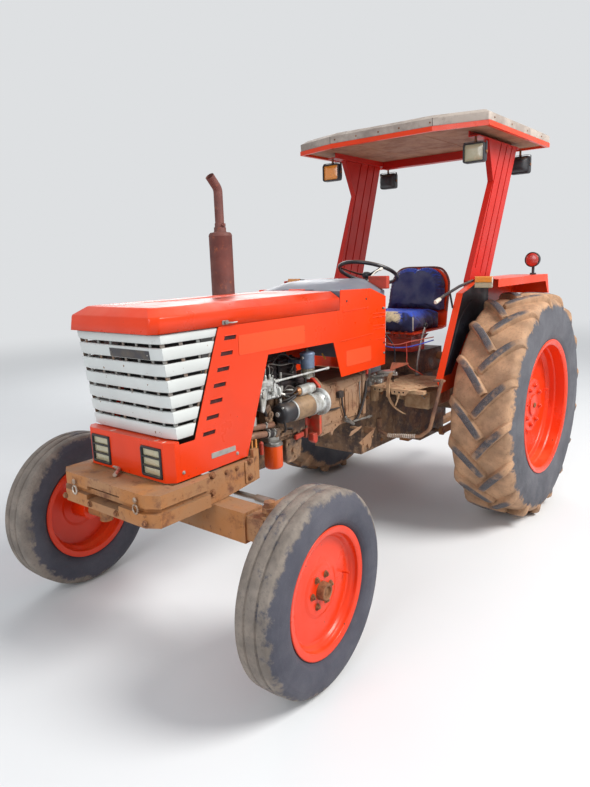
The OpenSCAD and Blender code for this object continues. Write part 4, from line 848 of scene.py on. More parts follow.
def lens(shape, low, high, y, bulge, rows_z=7, columns=9):
    """A pillowed lens from low to high (x, z) whose middle stands proud of y by the bulge."""
    grid = []
    for i in range(rows_z):
        v = i / (rows_z - 1)
        row = []
        for j in range(columns):
            u = j / (columns - 1)
            lift = bulge * (1 - (2 * u - 1) ** 4) * (1 - (2 * v - 1) ** 4)
            row.append((low[0] + (high[0] - low[0]) * u, y - lift, low[1] + (high[1] - low[1]) * v))
        grid.append(row)
    shape.grid(grid)


HEADLAMP_X, HEADLAMP_Z, HEADLAMP_HALF, HEADLAMP_FACE = 0.187, 0.972, 0.0708, -2.715


def headlamp(tag, side):
    x, z, half, face = side * HEADLAMP_X, HEADLAMP_Z, HEADLAMP_HALF, HEADLAMP_FACE
    shape = Shape()
    lamp_frame(shape, (x, z), half, half, face - 0.008, face + 0.048, 0.016, 0.011)
    for dz in (-0.0215, 0.0215):
        shape.plate(rectangle(x - half + 0.008, z + dz - 0.0035, x + half - 0.008, z + dz + 0.0035), "y",
            face - 0.006, face + 0.01, 0.001)
    shape.use(1)
    for dz in (-0.042, 0.0, 0.042):
        lens(shape, (x - half + 0.012, z + dz - 0.0175), (x + half - 0.012, z + dz + 0.0175), face + 0.003,
            0.0055)
    shape.use(2).plate(rectangle(x - half + 0.012, z - half + 0.012, x + half - 0.012, z + half - 0.012), "y",
        face + 0.02, face + 0.03, 0.001)
    return shape.build("headlamp_" + tag, "chassis", "lamp_black", "lens_clear", "lamp_silver",
        replaces=("headlamps",) if side > 0 else ())


for tag, side in (("left", 1), ("right", -1)):
    headlamp(tag, side)

LAMP_X = 0.577


def work_lamp(name, x, y, facing, pane):
    """A square lamp hung from the canopy's rail; facing is -1 to the front and 1 to the rear."""
    z = 2.49
    turn = Matrix.Rotation(0.0 if facing < 0 else math.pi, 4, "Z")
    shape = Shape(Matrix.Translation(at(x, y, z)) @ turn)
    lamp_frame(shape, (0, 0), 0.075, 0.063, -0.038, 0.02, 0.02, 0.01)
    shape.grid([[(px, 0.016 + 0.05 * t, pz) for px, pz in
        [(p.x, p.y) for p in rounded(rectangle(-w, -h, w, h), 0.02, 4)]]
        for t, w, h in ((0, 0.066, 0.054), (0.5, 0.058, 0.046), (0.85, 0.046, 0.036), (1.0, 0.034, 0.024))],
        across=True, caps=True)
    shape.use(1)
    lens(shape, (-0.0645, -0.0525), (0.0645, 0.0525), -0.026, 0.01, 11, 13)
    shape.use(2).plate(rectangle(-0.062, -0.05, 0.062, 0.05), "y", -0.01, -0.006, 0.001)
    shape.use(3).turned((0, 0, 0.066), (0, 0, 0.12), [(0, 0), (0, 0.011), (0.006, 0.011), (0.006, 0.008),
        (0.046, 0.008), (0.046, 0)], 12)
    for side in (-1, 1):
        shape.turned((side * 0.076, -0.005, 0), (side * 0.09, -0.005, 0),
            [(0, 0.011), (0.006, 0.0105), (0.0075, 0)], 12)
    shape.use(0)
    yoke = rounded([(-0.079, -0.005, -0.012), (-0.079, -0.005, 0.072), (0.079, -0.005, 0.072),
        (0.079, -0.005, -0.012)], 0.012, 4, closed=False)
    shape.grid([[(p.x, p.y - 0.012, p.z), (p.x, p.y + 0.012, p.z)] for p in yoke])
    return shape.build(name, "chassis", "lamp_black", pane, "lamp_silver", "rusty_bolt",
        replaces=("work_lamps",) if name.endswith("front_left") else ())


work_lamp("work_lamp_front_left", LAMP_X, -0.19, -1, "lens_clear")
work_lamp("work_lamp_front_right", -LAMP_X, -0.19, -1, "lens_amber")
work_lamp("work_lamp_rear_left", LAMP_X, 0.65, 1, "lens_clear")
work_lamp("work_lamp_rear_right", -LAMP_X, 0.65, 1, "lens_clear")

FENDER_OUT, FENDER_TOP = 0.872, 1.676


def fender_lamps():
    shape = Shape()
    for side in (-1, 1):
        x0, x1 = sorted((side * (FENDER_OUT - 0.157), side * (FENDER_OUT - 0.042)))
        z0, z1 = FENDER_TOP - 0.054, FENDER_TOP + 0.018
        shape.use(0).block((x0 + 0.004, -0.462, z0 + 0.004), (x1 - 0.004, -0.4425, z1 - 0.004), 0.004)
        shape.block((side * 0.772 - 0.02, -0.45, FENDER_TOP + 0.0004),
            (side * 0.772 + 0.02, -0.36, FENDER_TOP + 0.009), 0.002)
        middle = (z0 + z1) / 2 - 0.002
        for slot, low, high in ((1, middle, z1), (2, z0, middle - 0.001)):
            shape.use(slot)
            shape.plate(rectangle(x0, low, x1, high), "y", -0.482, -0.463, 0.006)
        shape.use(3)
        edge = x1 if side > 0 else x0
        shape.block((edge - 0.001, -0.48, z0 + 0.006), (edge + 0.0015, -0.464, z1 - 0.006), 0.0005)
    x, y = 0.8, 0.38
    shape.use(0).rod((x, y, FENDER_TOP + 0.0004), (x, y, FENDER_TOP + 0.012), 0.022, 20)
    shape.rod((x, y, FENDER_TOP + 0.01), (x, y, FENDER_TOP + 0.062), 0.01, 14)
    z = FENDER_TOP + 0.108
    shape.turned((x, y - 0.034, z), (x, y + 0.05, z), [(0.004, 0.048), (0, 0.05), (0.002, 0.054),
        (0.01, 0.054), (0.034, 0.052), (0.054, 0.044), (0.066, 0.03), (0.08, 0.028), (0.082, 0)], 36)
    shape.block((x - 0.006, y - 0.01, z - 0.06), (x + 0.006, y + 0.012, z - 0.05), 0.001)
    shape.use(4).turned((x, y - 0.03, z), (x, y - 0.08, z), [(0, 0.048), (0.006, 0.044), (0.011, 0.032),
        (0.014, 0.016), (0.015, 0)], 32)
    return shape.build("fender_lights", "chassis", "lamp_black", "lens_amber", "lens_clear", "pale_plastic",
        "lens_red", replaces=("fender_lamps",))


fender_lamps()


# Engine, with its pump, starter and filters

ENGINE_HALF, ENGINE_FRONT, BELL, GEARBOX_FRONT = 0.17, -2.17, -1.55, -1.02
CASE_LOW, HEAD_LOW, HEAD_TOP = 0.85, 1.17, 1.29


def screws(shape, spots, normal, size=0.008, washer=False):
    for spot in spots:
        shape.bolt(spot, normal, size, washer)


def hose_clamp(shape, centre, ahead, r):
    """A narrow band about a hose with its screw housing."""
    centre, ahead = Vector(centre), Vector(ahead).normalized()
    a = centre - ahead * 0.006
    shape.turned(a, centre, [(0, r), (0.001, r + 0.0016), (0.011, r + 0.0016), (0.012, r)], 20)
    side = ahead.orthogonal().normalized()
    shape.rod(centre + side * (r + 0.005) - ahead.cross(side) * 0.008,
        centre + side * (r + 0.005) + ahead.cross(side) * 0.008, 0.0045, 8)


def engine_core():
    shape = Shape()
    shape.block((-ENGINE_HALF, ENGINE_FRONT, CASE_LOW), (ENGINE_HALF, BELL - 0.0004, HEAD_LOW), 0.01)
    sump = rounded(rectangle(-0.138, -2.138, 0.138, -1.612), 0.03, 4)
    shape.grid([[(p.x * s, p.y, z) for p in inset(sump, d)] for z, d,
        s in ((0.7, 0.03, 0.98), (0.703, 0.016, 0.99), (0.714, 0.004, 1), (0.738, 0.0, 1), (0.846, 0.0, 1))],
        across=True, caps=True)
    rim = rounded(rectangle(-0.158, -2.16, 0.158, -1.59), 0.02, 4)
    shape.plate(rim, "z", 0.838, 0.856, 0.002)
    for i in range(3):
        y = ENGINE_FRONT + 0.07 + i * 0.175
        shape.block((-0.11, y, HEAD_LOW - 0.002), (0.13, y + 0.155, HEAD_TOP), 0.008)
        for k in range(4):
            z = HEAD_LOW + 0.018 + k * 0.026
            shape.block((0.128, y + 0.008, z), (0.137, y + 0.147, z + 0.008), 0.002)
        for x in (-0.088, 0.106):
            for dy in (0.022, 0.133):
                shape.bolt((x, y + dy, HEAD_TOP), (0, 0, 1), 0.01)
        shape.rod((0.128, y + 0.078, 1.215), (0.15, y + 0.078, 1.215), 0.016, 18)
    cover = rounded(rectangle(-0.06, -2.09, 0.08, -1.61), 0.03, 5)
    shape.grid([[(p.x, p.y, z) for p in inset(cover, d)] for z, d in ((1.289, 0.0), (1.328, 0.001),
        (1.339, 0.006), (1.344, 0.016), (1.345, 0.03))], across=True, caps=True)
    shape.turned((0, ENGINE_FRONT - 0.04, 0.96), (0, 0, 0.96), [(0, 0), (0, 0.03), (0.004, 0.032),
        (0.004, 0.078), (0.012, 0.085), (0.041, 0.085)], 40)
    for i in range(6):
        y = ENGINE_FRONT + 0.04 + i * 0.092
        shape.plate([(y, 0.856), (y + 0.018, 0.856), (y + 0.018, 1.142), (y + 0.012, 1.15), (y + 0.006, 1.15),
            (y, 1.142)], "x", ENGINE_HALF - 0.002, ENGINE_HALF + 0.014, 0.004)
    shape.block((ENGINE_HALF - 0.002, ENGINE_FRONT + 0.001, 1.0), (ENGINE_HALF + 0.014, -1.885, 1.022), 0.004)
    # lower side with its covers, bosses and the rim's screws
    shape.plate(rounded([(-1.86, 0.872), (-1.592, 0.872), (-1.592, 0.965), (-1.64, 0.992), (-1.86, 0.992)],
        0.012, 3), "x", ENGINE_HALF + 0.002, ENGINE_HALF + 0.022, 0.003)
    screws(shape, [(ENGINE_HALF + 0.022, y, z) for y in (-1.845, -1.73, -1.608) for z in (0.885, 0.978)],
        (1, 0, 0), 0.0085)
    screws(shape, [(s * 0.149, -2.14 + 0.066 * i, 0.838) for i in range(9) for s in (-1, 1)], (0, 0, -1),
        0.008)
    for y, z, r in ((-1.93, 0.88, 0.024), (-1.8, 1.09, 0.02), (-1.56, 0.935, 0.014), (-1.63, 1.128, 0.016)):
        shape.rod((ENGINE_HALF - 0.004, y, z), (ENGINE_HALF + 0.02, y, z), r, 24)
        shape.bolt((ENGINE_HALF + 0.02, y, z), (1, 0, 0), r * 0.5, washer=False)
    # stepped bracket that hangs by the sump
    shape.plate(rounded([(-1.765, 0.835), (-1.64, 0.838), (-1.622, 0.808), (-1.64, 0.716), (-1.7, 0.694),
        (-1.765, 0.7)], 0.012, 3), "x", 0.139, 0.172, 0.004)
    screws(shape, [(0.172, -1.742, 0.81), (0.172, -1.668, 0.812), (0.172, -1.69, 0.725)], (1, 0, 0), 0.0075)
    shape.rod((0.17, -1.705, 0.765), (0.186, -1.705, 0.765), 0.017, 20)
    shape.use(2).plate([(-1.7, 0.826), (-1.625, 0.832), (-1.625, 0.858), (-1.7, 0.852)], "x", 0.176, 0.1935,
        0.002)
    shape.block((0.168, -1.612, 0.816), (0.196, -1.592, 0.968), 0.003)
    shape.block((0.15, -1.592, 0.862), (0.18, -1.5505, 0.965), 0.004)
    shape.plate(rounded([(-1.595, 0.842), (-1.552, 0.842), (-1.552, 0.792), (-1.57, 0.78), (-1.595, 0.8)],
        0.006, 3), "x", 0.196, 0.236, 0.003)
    shape.use(1)
    # rocker cover nuts, dipstick tube and breather
    for y in (-2.03, -1.85, -1.67):
        shape.bolt((0.01, y, 1.345), (0, 0, 1), 0.011)
    shape.rod((0.01, -1.95, 1.343), (0.01, -1.95, 1.372), 0.018, 20)
    shape.use(3).tube(spline([(0.172, -1.602, 1.02), (0.18, -1.585, 1.12), (0.165, -1.57, 1.2),
        (0.142, -1.56, 1.24)], 5), 0.004, 8)
    shape.use(4).tube([(0.14, -1.362, 1.276), (0.14, -1.327, 1.238)], 0.0042, 8)
    return shape.build("engine_core", "chassis", "oily_cast", "bare_metal", "dull_red", "black_rubber",
        "yellow_tab", replaces=("engine_block",))


def engine_plumbing():
    shape = Shape()
    # two coolant pipes that leave the front panel, and the rubber joint on the lower one
    shape.tube(spline([(0.15, -2.15, 1.03), (0.205, -2.158, 1.018), (0.243, -2.14, 1.004),
        (0.252, -2.105, 0.999), (0.252, -2.04, 0.992), (0.252, -1.99, 0.985), (0.24, -1.955, 0.982),
        (0.205, -1.94, 0.982), (0.165, -1.938, 0.982)], 5), 0.0155, 16)
    shape.tube(spline([(0.15, -2.166, 0.948), (0.21, -2.17, 0.948), (0.246, -2.154, 0.952),
        (0.256, -2.12, 0.961), (0.256, -2.06, 0.953), (0.256, -1.995, 0.944), (0.25, -1.962, 0.938),
        (0.222, -1.936, 0.932), (0.165, -1.925, 0.928)], 5), 0.0175, 16)
    shape.use(1).tube([(0.256, -2.03, 0.9495), (0.256, -2.018, 0.948), (0.2555, -1.98, 0.942),
        (0.251, -1.962, 0.938)], [0.02, 0.0225, 0.0225, 0.0205], 18)
    # heater hose behind the pump
    shape.tube(spline([(0.176, -2.12, 1.06), (0.215, -2.105, 1.1), (0.232, -2.06, 1.085),
        (0.236, -2.01, 1.06), (0.226, -1.985, 1.02)], 5), 0.01, 12)
    shape.use(2)
    for y, z in ((-2.0225, 0.9485), (-1.978, 0.942)):
        hose_clamp(shape, (0.256, y, z), (0, 1, -0.14), 0.0225)
    hose_clamp(shape, (0.252, -2.03, 0.991), (0, 1, -0.1), 0.0155)
    shape.block((0.254, -2.124, 1.004), (0.262, -2.1, 1.056), 0.002)
    # steel lines from the pump to the heads
    for i, y in enumerate((-2.008, -1.974, -1.94)):
        goal = ENGINE_FRONT + 0.148 + i * 0.175
        shape.tube(spline([(0.22, y, 1.248), (0.222, y, 1.275), (0.212, y + 0.01, 1.3),
            (0.19, (y + goal) / 2, 1.29 - 0.008 * i), (0.165, goal, 1.262), (0.15, goal, 1.218)], 5), 0.0032,
            8)
        shape.turned((0.15, goal, 1.215), (0.17, goal, 1.215), [(0, 0.01), (0.012, 0.01), (0.014, 0.006),
            (0.014, 0)], 6)
    # fuel line with its banjo fittings beside the pump
    shape.rod((0.252, -1.886, 1.218), (0.252, -1.886, 1.252), 0.006, 10)
    shape.rod((0.252, -1.886, 1.15), (0.252, -1.886, 1.18), 0.011, 12)
    shape.rod((0.24, -1.902, 1.14), (0.262, -1.87, 1.128), 0.01, 12)
    shape.rod((0.246, -1.89, 1.085), (0.246, -1.89, 1.11), 0.009, 12)
    shape.rod((0.232, -1.84, 1.148), (0.262, -1.8, 1.142), 0.0075, 10)
    shape.rod((0.236, -1.85, 1.122), (0.262, -1.832, 1.112), 0.009, 10)
    shape.use(1)
    lines = (
        ((0.252, -1.886, 1.215), (0.252, -1.886, 1.19), (0.252, -1.884, 1.16), (0.25, -1.888, 1.12),
            (0.246, -1.892, 1.07)),
        ((0.262, -1.88, 1.15), (0.262, -1.85, 1.172), (0.258, -1.815, 1.165), (0.254, -1.785, 1.15),
            (0.25, -1.76, 1.13)),
        ((0.255, -1.892, 1.128), (0.266, -1.862, 1.132), (0.268, -1.825, 1.128), (0.264, -1.795, 1.135),
            (0.258, -1.765, 1.145)),
        ((0.25, -1.88, 1.095), (0.27, -1.858, 1.102), (0.276, -1.825, 1.112), (0.27, -1.79, 1.115),
            (0.262, -1.755, 1.118)),
        ((0.238, -1.895, 1.235), (0.23, -1.85, 1.236), (0.226, -1.79, 1.224), (0.232, -1.73, 1.208),
            (0.24, -1.665, 1.196)),
        ((0.2, -1.9, 1.29), (0.204, -1.84, 1.335), (0.196, -1.78, 1.33), (0.19, -1.72, 1.3),
            (0.2, -1.668, 1.288)),
        ((0.19, -2.06, 1.3), (0.196, -1.99, 1.318), (0.19, -1.9, 1.312), (0.186, -1.82, 1.33),
            (0.18, -1.74, 1.352)),
        ((0.262, -1.905, 1.06), (0.284, -1.915, 1.01), (0.286, -1.9, 0.96), (0.262, -1.88, 0.93),
            (0.22, -1.865, 0.915)),
        ((0.246, -1.868, 0.93), (0.262, -1.845, 0.94), (0.262, -1.815, 0.932), (0.24, -1.8, 0.92),
            (0.196, -1.795, 0.912)))
    for k, line in enumerate(lines):
        shape.tube(spline(line, 6), 0.0062 if k in (1, 2, 3, 7) else 0.004, 10)
    # casting that holds the pump's drive, with its arm down to the pipes
    shape.use(3).plate(rounded([(-2.0, 1.078), (-1.965, 1.094), (-1.945, 1.04), (-1.946, 0.992),
        (-1.905, 0.962), (-1.862, 0.932), (-1.85, 0.908), (-1.868, 0.888), (-1.925, 0.902), (-1.975, 0.95),
        (-2.004, 1.02)], 0.01, 3), "x", 0.184, 0.2385, 0.005)
    shape.rod((0.236, -1.938, 0.936), (0.262, -1.938, 0.936), 0.026, 24)
    shape.rod((0.236, -1.972, 1.04), (0.252, -1.972, 1.04), 0.018, 20)
    screws(shape, [(0.2385, -1.884, 0.915), (0.2385, -1.948, 0.976), (0.2385, -1.985, 1.0),
        (0.252, -1.972, 1.04)], (1, 0, 0), 0.009)
    shape.use(4).rod((0.268, -2.08, 0.852), (0.268, -2.08, 0.912), 0.0105, 16)
    shape.turned((0.268, -2.08, 0.908), (0.268, -2.08, 1), [(0, 0.0125), (0.006, 0.0125), (0.008, 0.01),
        (0.014, 0.005), (0.016, 0)], 16)
    shape.use(5)
    for y in (-2.156, -2.126):
        shape.block((0.262, y, 0.872), (0.271, y + 0.013, 0.944), 0.002)
    return shape.build("engine_plumbing", "chassis", "coolant_brown", "black_rubber", "bare_metal",
        "oily_cast", "dull_red", "ochre_tab")


def pump():
    shape = Shape()
    shape.block((0.1845, -2.04, 1.12), (0.25, -1.908, 1.188), 0.006)
    for i in range(4):
        shape.block((0.248, -2.034 + i * 0.034, 1.126), (0.2545, -2.026 + i * 0.034, 1.184), 0.002)
    shape.block((0.196, -2.032, 1.186), (0.246, -1.916, 1.222), 0.008)
    shape.block((0.19, -2.04, 1.18), (0.2525, -1.91, 1.194), 0.003)
    shape.turned((0.218, -2.098, 1.158), (0.218, 0, 1.158), [(0, 0), (0, 0.026), (0.004, 0.034),
        (0.04, 0.036), (0.048, 0.043), (0.06, 0.043), (0.06, 0)], 32)
    shape.turned((0.228, -1.91, 1.15), (0.228, 0, 1.15), [(0, 0), (0, 0.038), (0.01, 0.038), (0.014, 0.033),
        (0.026, 0.031), (0.03, 0)], 28)
    for i in range(3):
        y = -2.008 + i * 0.034
        shape.turned((0.22, y, 1.222), (0.22, y, 2), [(0, 0.01), (0.006, 0.01), (0.007, 0.0075),
            (0.022, 0.0075), (0.026, 0.005), (0.027, 0)], 12)
    # long arm at the front, and its lever
    shape.plate(rounded([(-2.066, 1.168), (-2.034, 1.18), (-2.018, 1.15), (-2.024, 1.115), (-2.038, 1.072),
        (-2.05, 1.064), (-2.062, 1.08), (-2.064, 1.12)], 0.007, 3), "x", 0.25, 0.268, 0.004)
    shape.rod((0.246, -2.044, 1.158), (0.276, -2.044, 1.158), 0.017, 22)
    shape.block((0.262, -1.99, 1.146), (0.276, -1.972, 1.166), 0.003)
    shape.block((0.28, -1.986, 1.164), (0.29, -1.97, 1.236), 0.002)
    shape.block((0.25, -1.99, 1.15), (0.2885, -1.968, 1.168), 0.003)
    screws(shape, [(0.2545, y, z) for y in (-2.026, -1.922) for z in (1.132, 1.18)], (1, 0, 0), 0.007)
    screws(shape, [(0.221, -2.024, 1.222), (0.221, -1.924, 1.222), (0.202, -1.974, 1.222)], (0, 0, 1), 0.007)
    for turn in range(3):
        t = turn * math.tau / 3 + 0.4
        shape.bolt((0.218 + 0.03 * math.cos(t), -2.098 + 0.004, 1.158 + 0.03 * math.sin(t)), (0, -1, 0),
            0.005, washer=False)
    shape.rod((0.289, -1.984, 1.222), (0.289, -1.51, 1.222), 0.0058, 12)
    shape.rod((0.289, -1.984, 1.222), (0.289, -1.945, 1.222), 0.0085, 12)
    shape.rod((0.289, -1.53, 1.222), (0.289, -1.505, 1.222), 0.008, 12)
    shape.use(1).plate(rounded(rectangle(-2.0, 1.224, -1.95, 1.243), 0.004, 2), "x", 0.186, 0.197, 0.002)
    return shape.build("pump_and_rod", "chassis", "pump_silver", "black_rubber", replaces=("injection_pump",))


def starter():
    x, z = 0.258, 1.032
    shape = Shape()
    shape.turned((x, -1.932, z), (x, 0, z), [(0, 0), (0.001, 0.018), (0.006, 0.02), (0.008, 0.04),
        (0.016, 0.051), (0.034, 0.0565), (0.112, 0.0575), (0.114, 0.056), (0.116, 0)], 40)
    shape.rod((x + 0.01, -1.862, z + 0.05), (x + 0.012, -1.79, z + 0.072), 0.007, 10)
    shape.block((x - 0.024, -1.72, z + 0.048), (x + 0.004, -1.632, z + 0.092), 0.006)
    shape.use(1).turned((x, -1.818, z), (x, 0, z), [(0, 0.055), (0.003, 0.0615), (0.01, 0.0625),
        (0.15, 0.0625), (0.153, 0.06)], 44)
    shape.use(2).turned((x, -1.826, z), (x, 0, z), [(0, 0.056), (0.001, 0.0605), (0.01, 0.0605),
        (0.011, 0.058)], 44)
    shape.turned((x, -1.668, z), (x, 0, z), [(0, 0.058), (0.001, 0.0655), (0.02, 0.065), (0.04, 0.058),
        (0.085, 0.054), (0.098, 0.06), (0.1, 0.076), (0.103, 0.079), (0.115, 0.0795), (0.1175, 0.077),
        (0.1178, 0)], 44)
    for t in (0.5, 2.6, 4.7):
        shape.bolt((x + 0.066 * math.cos(t), -1.568, z + 0.066 * math.sin(t)), (0, -1, 0), 0.009)
    for t in (0.9, 3.4):
        shape.rod((x + 0.046 * math.cos(t), -1.925, z + 0.046 * math.sin(t)),
            (x + 0.046 * math.cos(t), -1.912, z + 0.046 * math.sin(t)), 0.006, 10)
    shape.turned((x, -1.934, z), (x, 0, z), [(0, 0), (0, 0.012), (0.003, 0.014)], 20)
    # solenoid
    sx, sz = x - 0.008, z + 0.092
    shape.turned((sx, -1.738, sz), (sx, 0, sz), [(0, 0), (0, 0.026), (0.002, 0.0295), (0.086, 0.03),
        (0.088, 0.032), (0.098, 0.032), (0.1, 0.028), (0.128, 0.026), (0.132, 0.02), (0.132, 0)], 36)
    shape.use(3).turned((sx, -1.765, sz), (sx, 0, sz), [(0, 0), (0.001, 0.012), (0.004, 0.019),
        (0.022, 0.0225), (0.026, 0.024), (0.028, 0.024)], 28)
    for dz in (-0.01, 0.01):
        shape.rod((sx, -1.778, sz + dz), (sx, -1.762, sz + dz), 0.0045, 8)
    return shape.build("starter", "chassis", "lamp_black", "starter_tan", "pump_silver", "brass",
        replaces=("starter_motor",))


def filters():
    shape = Shape()
    x, y = 0.242, -1.64
    shape.turned((x, y, 1.238), (x, y, 2), [(0, 0.02), (0, 0.036), (0.003, 0.0385), (0.008, 0.0395),
        (0.074, 0.0405), (0.076, 0.043), (0.084, 0.043), (0.088, 0.04), (0.094, 0.03), (0.096, 0.0)], 36)
    shape.block((0.1305, -1.68, 1.262), (x - 0.02, -1.6, 1.287), 0.004)
    shape.use(1).turned((x, y, 1.326), (x, y, 2), [(0, 0.012), (0.01, 0.012), (0.012, 0.009), (0.022, 0.006),
        (0.023, 0)], 6)
    shape.turned((x, y, 1.176), (x, y, 2), [(0, 0), (0.001, 0.014), (0.008, 0.016), (0.012, 0.03),
        (0.015, 0.031), (0.017, 0.026)], 28)
    for t in range(4):
        turn = t * math.tau / 4 + 0.6
        c, s = math.cos(turn) * 0.0355, math.sin(turn) * 0.0355
        shape.tube([(x + c * 0.4, y + s * 0.4, 1.184), (x + c, y + s, 1.192),
            (x + c * 1.02, y + s * 1.02, 1.24)], 0.0024, 8)
    shape.rod((x, y - 0.05, 1.3), (x, y - 0.03, 1.3), 0.009, 6)
    shape.use(2).turned((x, y, 1.188), (x, y, 2), [(0, 0), (0.002, 0.026), (0.008, 0.031), (0.046, 0.0335),
        (0.05, 0.034), (0.052, 0)], 32)
    shape.use(3)
    ox, oy = 0.244, -1.96
    shape.turned((ox, oy, 0.742), (ox, oy, 2), [(0, 0), (0.001, 0.03), (0.004, 0.04), (0.012, 0.0475),
        (0.02, 0.0495), (0.128, 0.0495), (0.134, 0.0485)], 44)
    for i in range(12):
        t = i * math.tau / 12
        shape.rod((ox + 0.0415 * math.cos(t), oy + 0.0415 * math.sin(t), 0.748),
            (ox + 0.047 * math.cos(t), oy + 0.047 * math.sin(t), 0.77), 0.0035, 8)
    shape.use(4).turned((ox, oy, 0.872), (ox, oy, 2), [(0, 0.048), (0.001, 0.0515), (0.01, 0.0515),
        (0.014, 0.045), (0.02, 0.043), (0.02, 0)], 40)
    shape.block((0.1845, -1.999, 0.885), (0.254, -1.915, 0.925), 0.006)
    return shape.build("filters", "chassis", "tin_grey", "bare_metal", "bowl_glass", "filter_orange",
        "bare_metal", replaces=("fuel_filters",))


def clutch_case():
    shape = Shape()
    flange = rounded([(-0.25, 0.835), (-0.235, 0.82), (0.235, 0.82), (0.25, 0.835), (0.25, 1.12),
        (0.205, 1.16), (-0.205, 1.16), (-0.25, 1.12)], 0.012, 3)
    shape.plate(flange, "y", BELL + 0.021, -1.51, 0.003)
    body = rounded([(-0.22, 0.85), (0.22, 0.85), (0.22, 1.105), (0.19, 1.12), (-0.19, 1.12), (-0.22, 1.105)],
        0.01, 3)
    shape.plate(body, "y", -1.512, GEARBOX_FRONT, 0.003)
    rear = rounded([(-0.232, 0.842), (0.232, 0.842), (0.232, 1.11), (0.2, 1.128), (-0.2, 1.128),
        (-0.232, 1.11)], 0.012, 3)
    shape.plate(rear, "y", -1.055, GEARBOX_FRONT, 0.003)
    # cover plates on the left side: the first with a step, the second lower and further back
    shape.plate(rounded([(-1.5, 0.862), (-1.5, 1.098), (-1.33, 1.098), (-1.33, 1.06), (-1.275, 1.04),
        (-1.262, 0.872)], 0.01, 3), "x", 0.218, 0.226, 0.002)
    shape.plate(rounded([(-1.245, 0.858), (-1.255, 1.05), (-1.085, 1.066), (-1.066, 1.01), (-1.12, 0.858)],
        0.012, 3), "x", 0.218, 0.2285, 0.002)
    screws(shape, [(0.226, y, z) for y, z in ((-1.488, 0.878), (-1.488, 0.96), (-1.488, 1.04),
        (-1.488, 1.086), (-1.4, 1.086), (-1.345, 1.086), (-1.3, 0.884), (-1.395, 0.874), (-1.29, 0.96),
        (-1.29, 1.025))], (1, 0, 0), 0.0065)
    screws(shape, [(0.2285, y, z) for y, z in ((-1.236, 0.872), (-1.24, 1.04), (-1.1, 1.052),
        (-1.14, 0.872))], (1, 0, 0), 0.0065)
    for i in range(3):
        shape.block((0.2285, -1.22 + i * 0.045, 0.9), (0.2315, -1.21 + i * 0.045, 1.02), 0.0012)
    for z in (0.85, 0.905, 0.96, 1.015, 1.07):
        for side in (-1, 1):
            shape.bolt((side * 0.238, -1.51, z), (0, 1, 0), 0.008)
    # lip below, with the two ears
    shape.plate(rounded([(-1.5, 0.86), (-1.02, 0.86), (-1.06, 0.822), (-1.3, 0.828), (-1.36, 0.806),
        (-1.38, 0.776), (-1.398, 0.806), (-1.5, 0.8)], 0.006, 3), "x", 0.196, 0.216, 0.003)
    screws(shape, [(0.216, -1.47, 0.822), (0.216, -1.345, 0.84), (0.216, -1.24, 0.842)], (1, 0, 0), 0.007)
    shape.use(1).plate(flange, "y", BELL, BELL + 0.0208, 0.003)
    shape.use(2)
    # bent handle, the black box above it, cable and hose
    shape.tube(rounded([(0.23, -1.434, 0.992), (0.236, -1.434, 0.952), (0.236, -1.33, 0.946)], 0.008, 3,
        closed=False), 0.0055, 10)
    shape.block((0.226, -1.346, 1.008), (0.252, -1.298, 1.048), 0.003)
    shape.tube(spline([(0.24, -1.305, 1.01), (0.24, -1.3, 0.96), (0.238, -1.28, 0.91),
        (0.236, -1.262, 0.868)], 5), 0.0055, 10)
    shape.tube(spline([(0.236, -1.02, 1.06), (0.244, -1.045, 0.99), (0.244, -1.085, 0.91),
        (0.24, -1.125, 0.852), (0.225, -1.15, 0.82)], 5), 0.0085, 12)
    shape.tube(spline([(0.222, -1.008, 1.05), (0.232, -1.03, 0.985), (0.232, -1.07, 0.905),
        (0.228, -1.108, 0.846)], 5), 0.0055, 10)
    shape.use(3).rod((0.24, -1.275, 0.862), (0.24, -1.225, 0.84), 0.014, 16)
    shape.rod((0.24, -1.232, 0.846), (0.24, -1.18, 0.812), 0.01, 14)
    shape.rod((0.236, -1.268, 0.88), (0.236, -1.255, 0.85), 0.009, 12)
    shape.rod((0.24, -1.185, 0.829), (0.24, -0.966, 0.819), 0.0062, 12)
    shape.rod((0.24, -1.01, 0.821), (0.24, -0.985, 0.82), 0.01, 6)
    shape.tube([(0.236, -1.095, 1.075), (0.24, -1.11, 1.01), (0.24, -1.1, 0.93)], 0.0035, 8)
    return shape.build("clutch_case", "chassis", "case_tan", "flange_red", "black_rubber", "bare_metal",
        replaces=("clutch_housing",))


engine_core()
engine_plumbing()
pump()
starter()
filters()
clutch_case()


# Plates that hang below the clutch housing, seen past the front wheel

def hanging_plates():
    shape = Shape()
    shape.plate([(-0.95, 0.742), (-0.985, 0.708), (-1.008, 0.633), (-1.033, 0.612), (-1.05, 0.652),
        (-1.088, 0.642), (-1.117, 0.612), (-1.115, 0.655), (-1.151, 0.682)], "x", 0.256, 0.262, 0.001)
    shape.plate([(-1.263, 0.755), (-1.24, 0.778), (-1.16, 0.79), (-1.114, 0.786), (-1.15, 0.77),
        (-1.238, 0.752)], "x", 0.2585, 0.2625, 0.001)
    shape.block((0.19, -0.985, 0.7), (0.2565, -0.962, 0.742), 0.003)
    shape.block((0.19, -1.15, 0.77), (0.2595, -1.13, 0.782), 0.002)
    screws(shape, [(0.262, -1.0, 0.69), (0.262, -1.105, 0.665)], (1, 0, 0), 0.008)
    return shape.build("hanging_plates", "chassis", "case_tan")


hanging_plates()


# Platform with its brackets, the box behind it and the steps

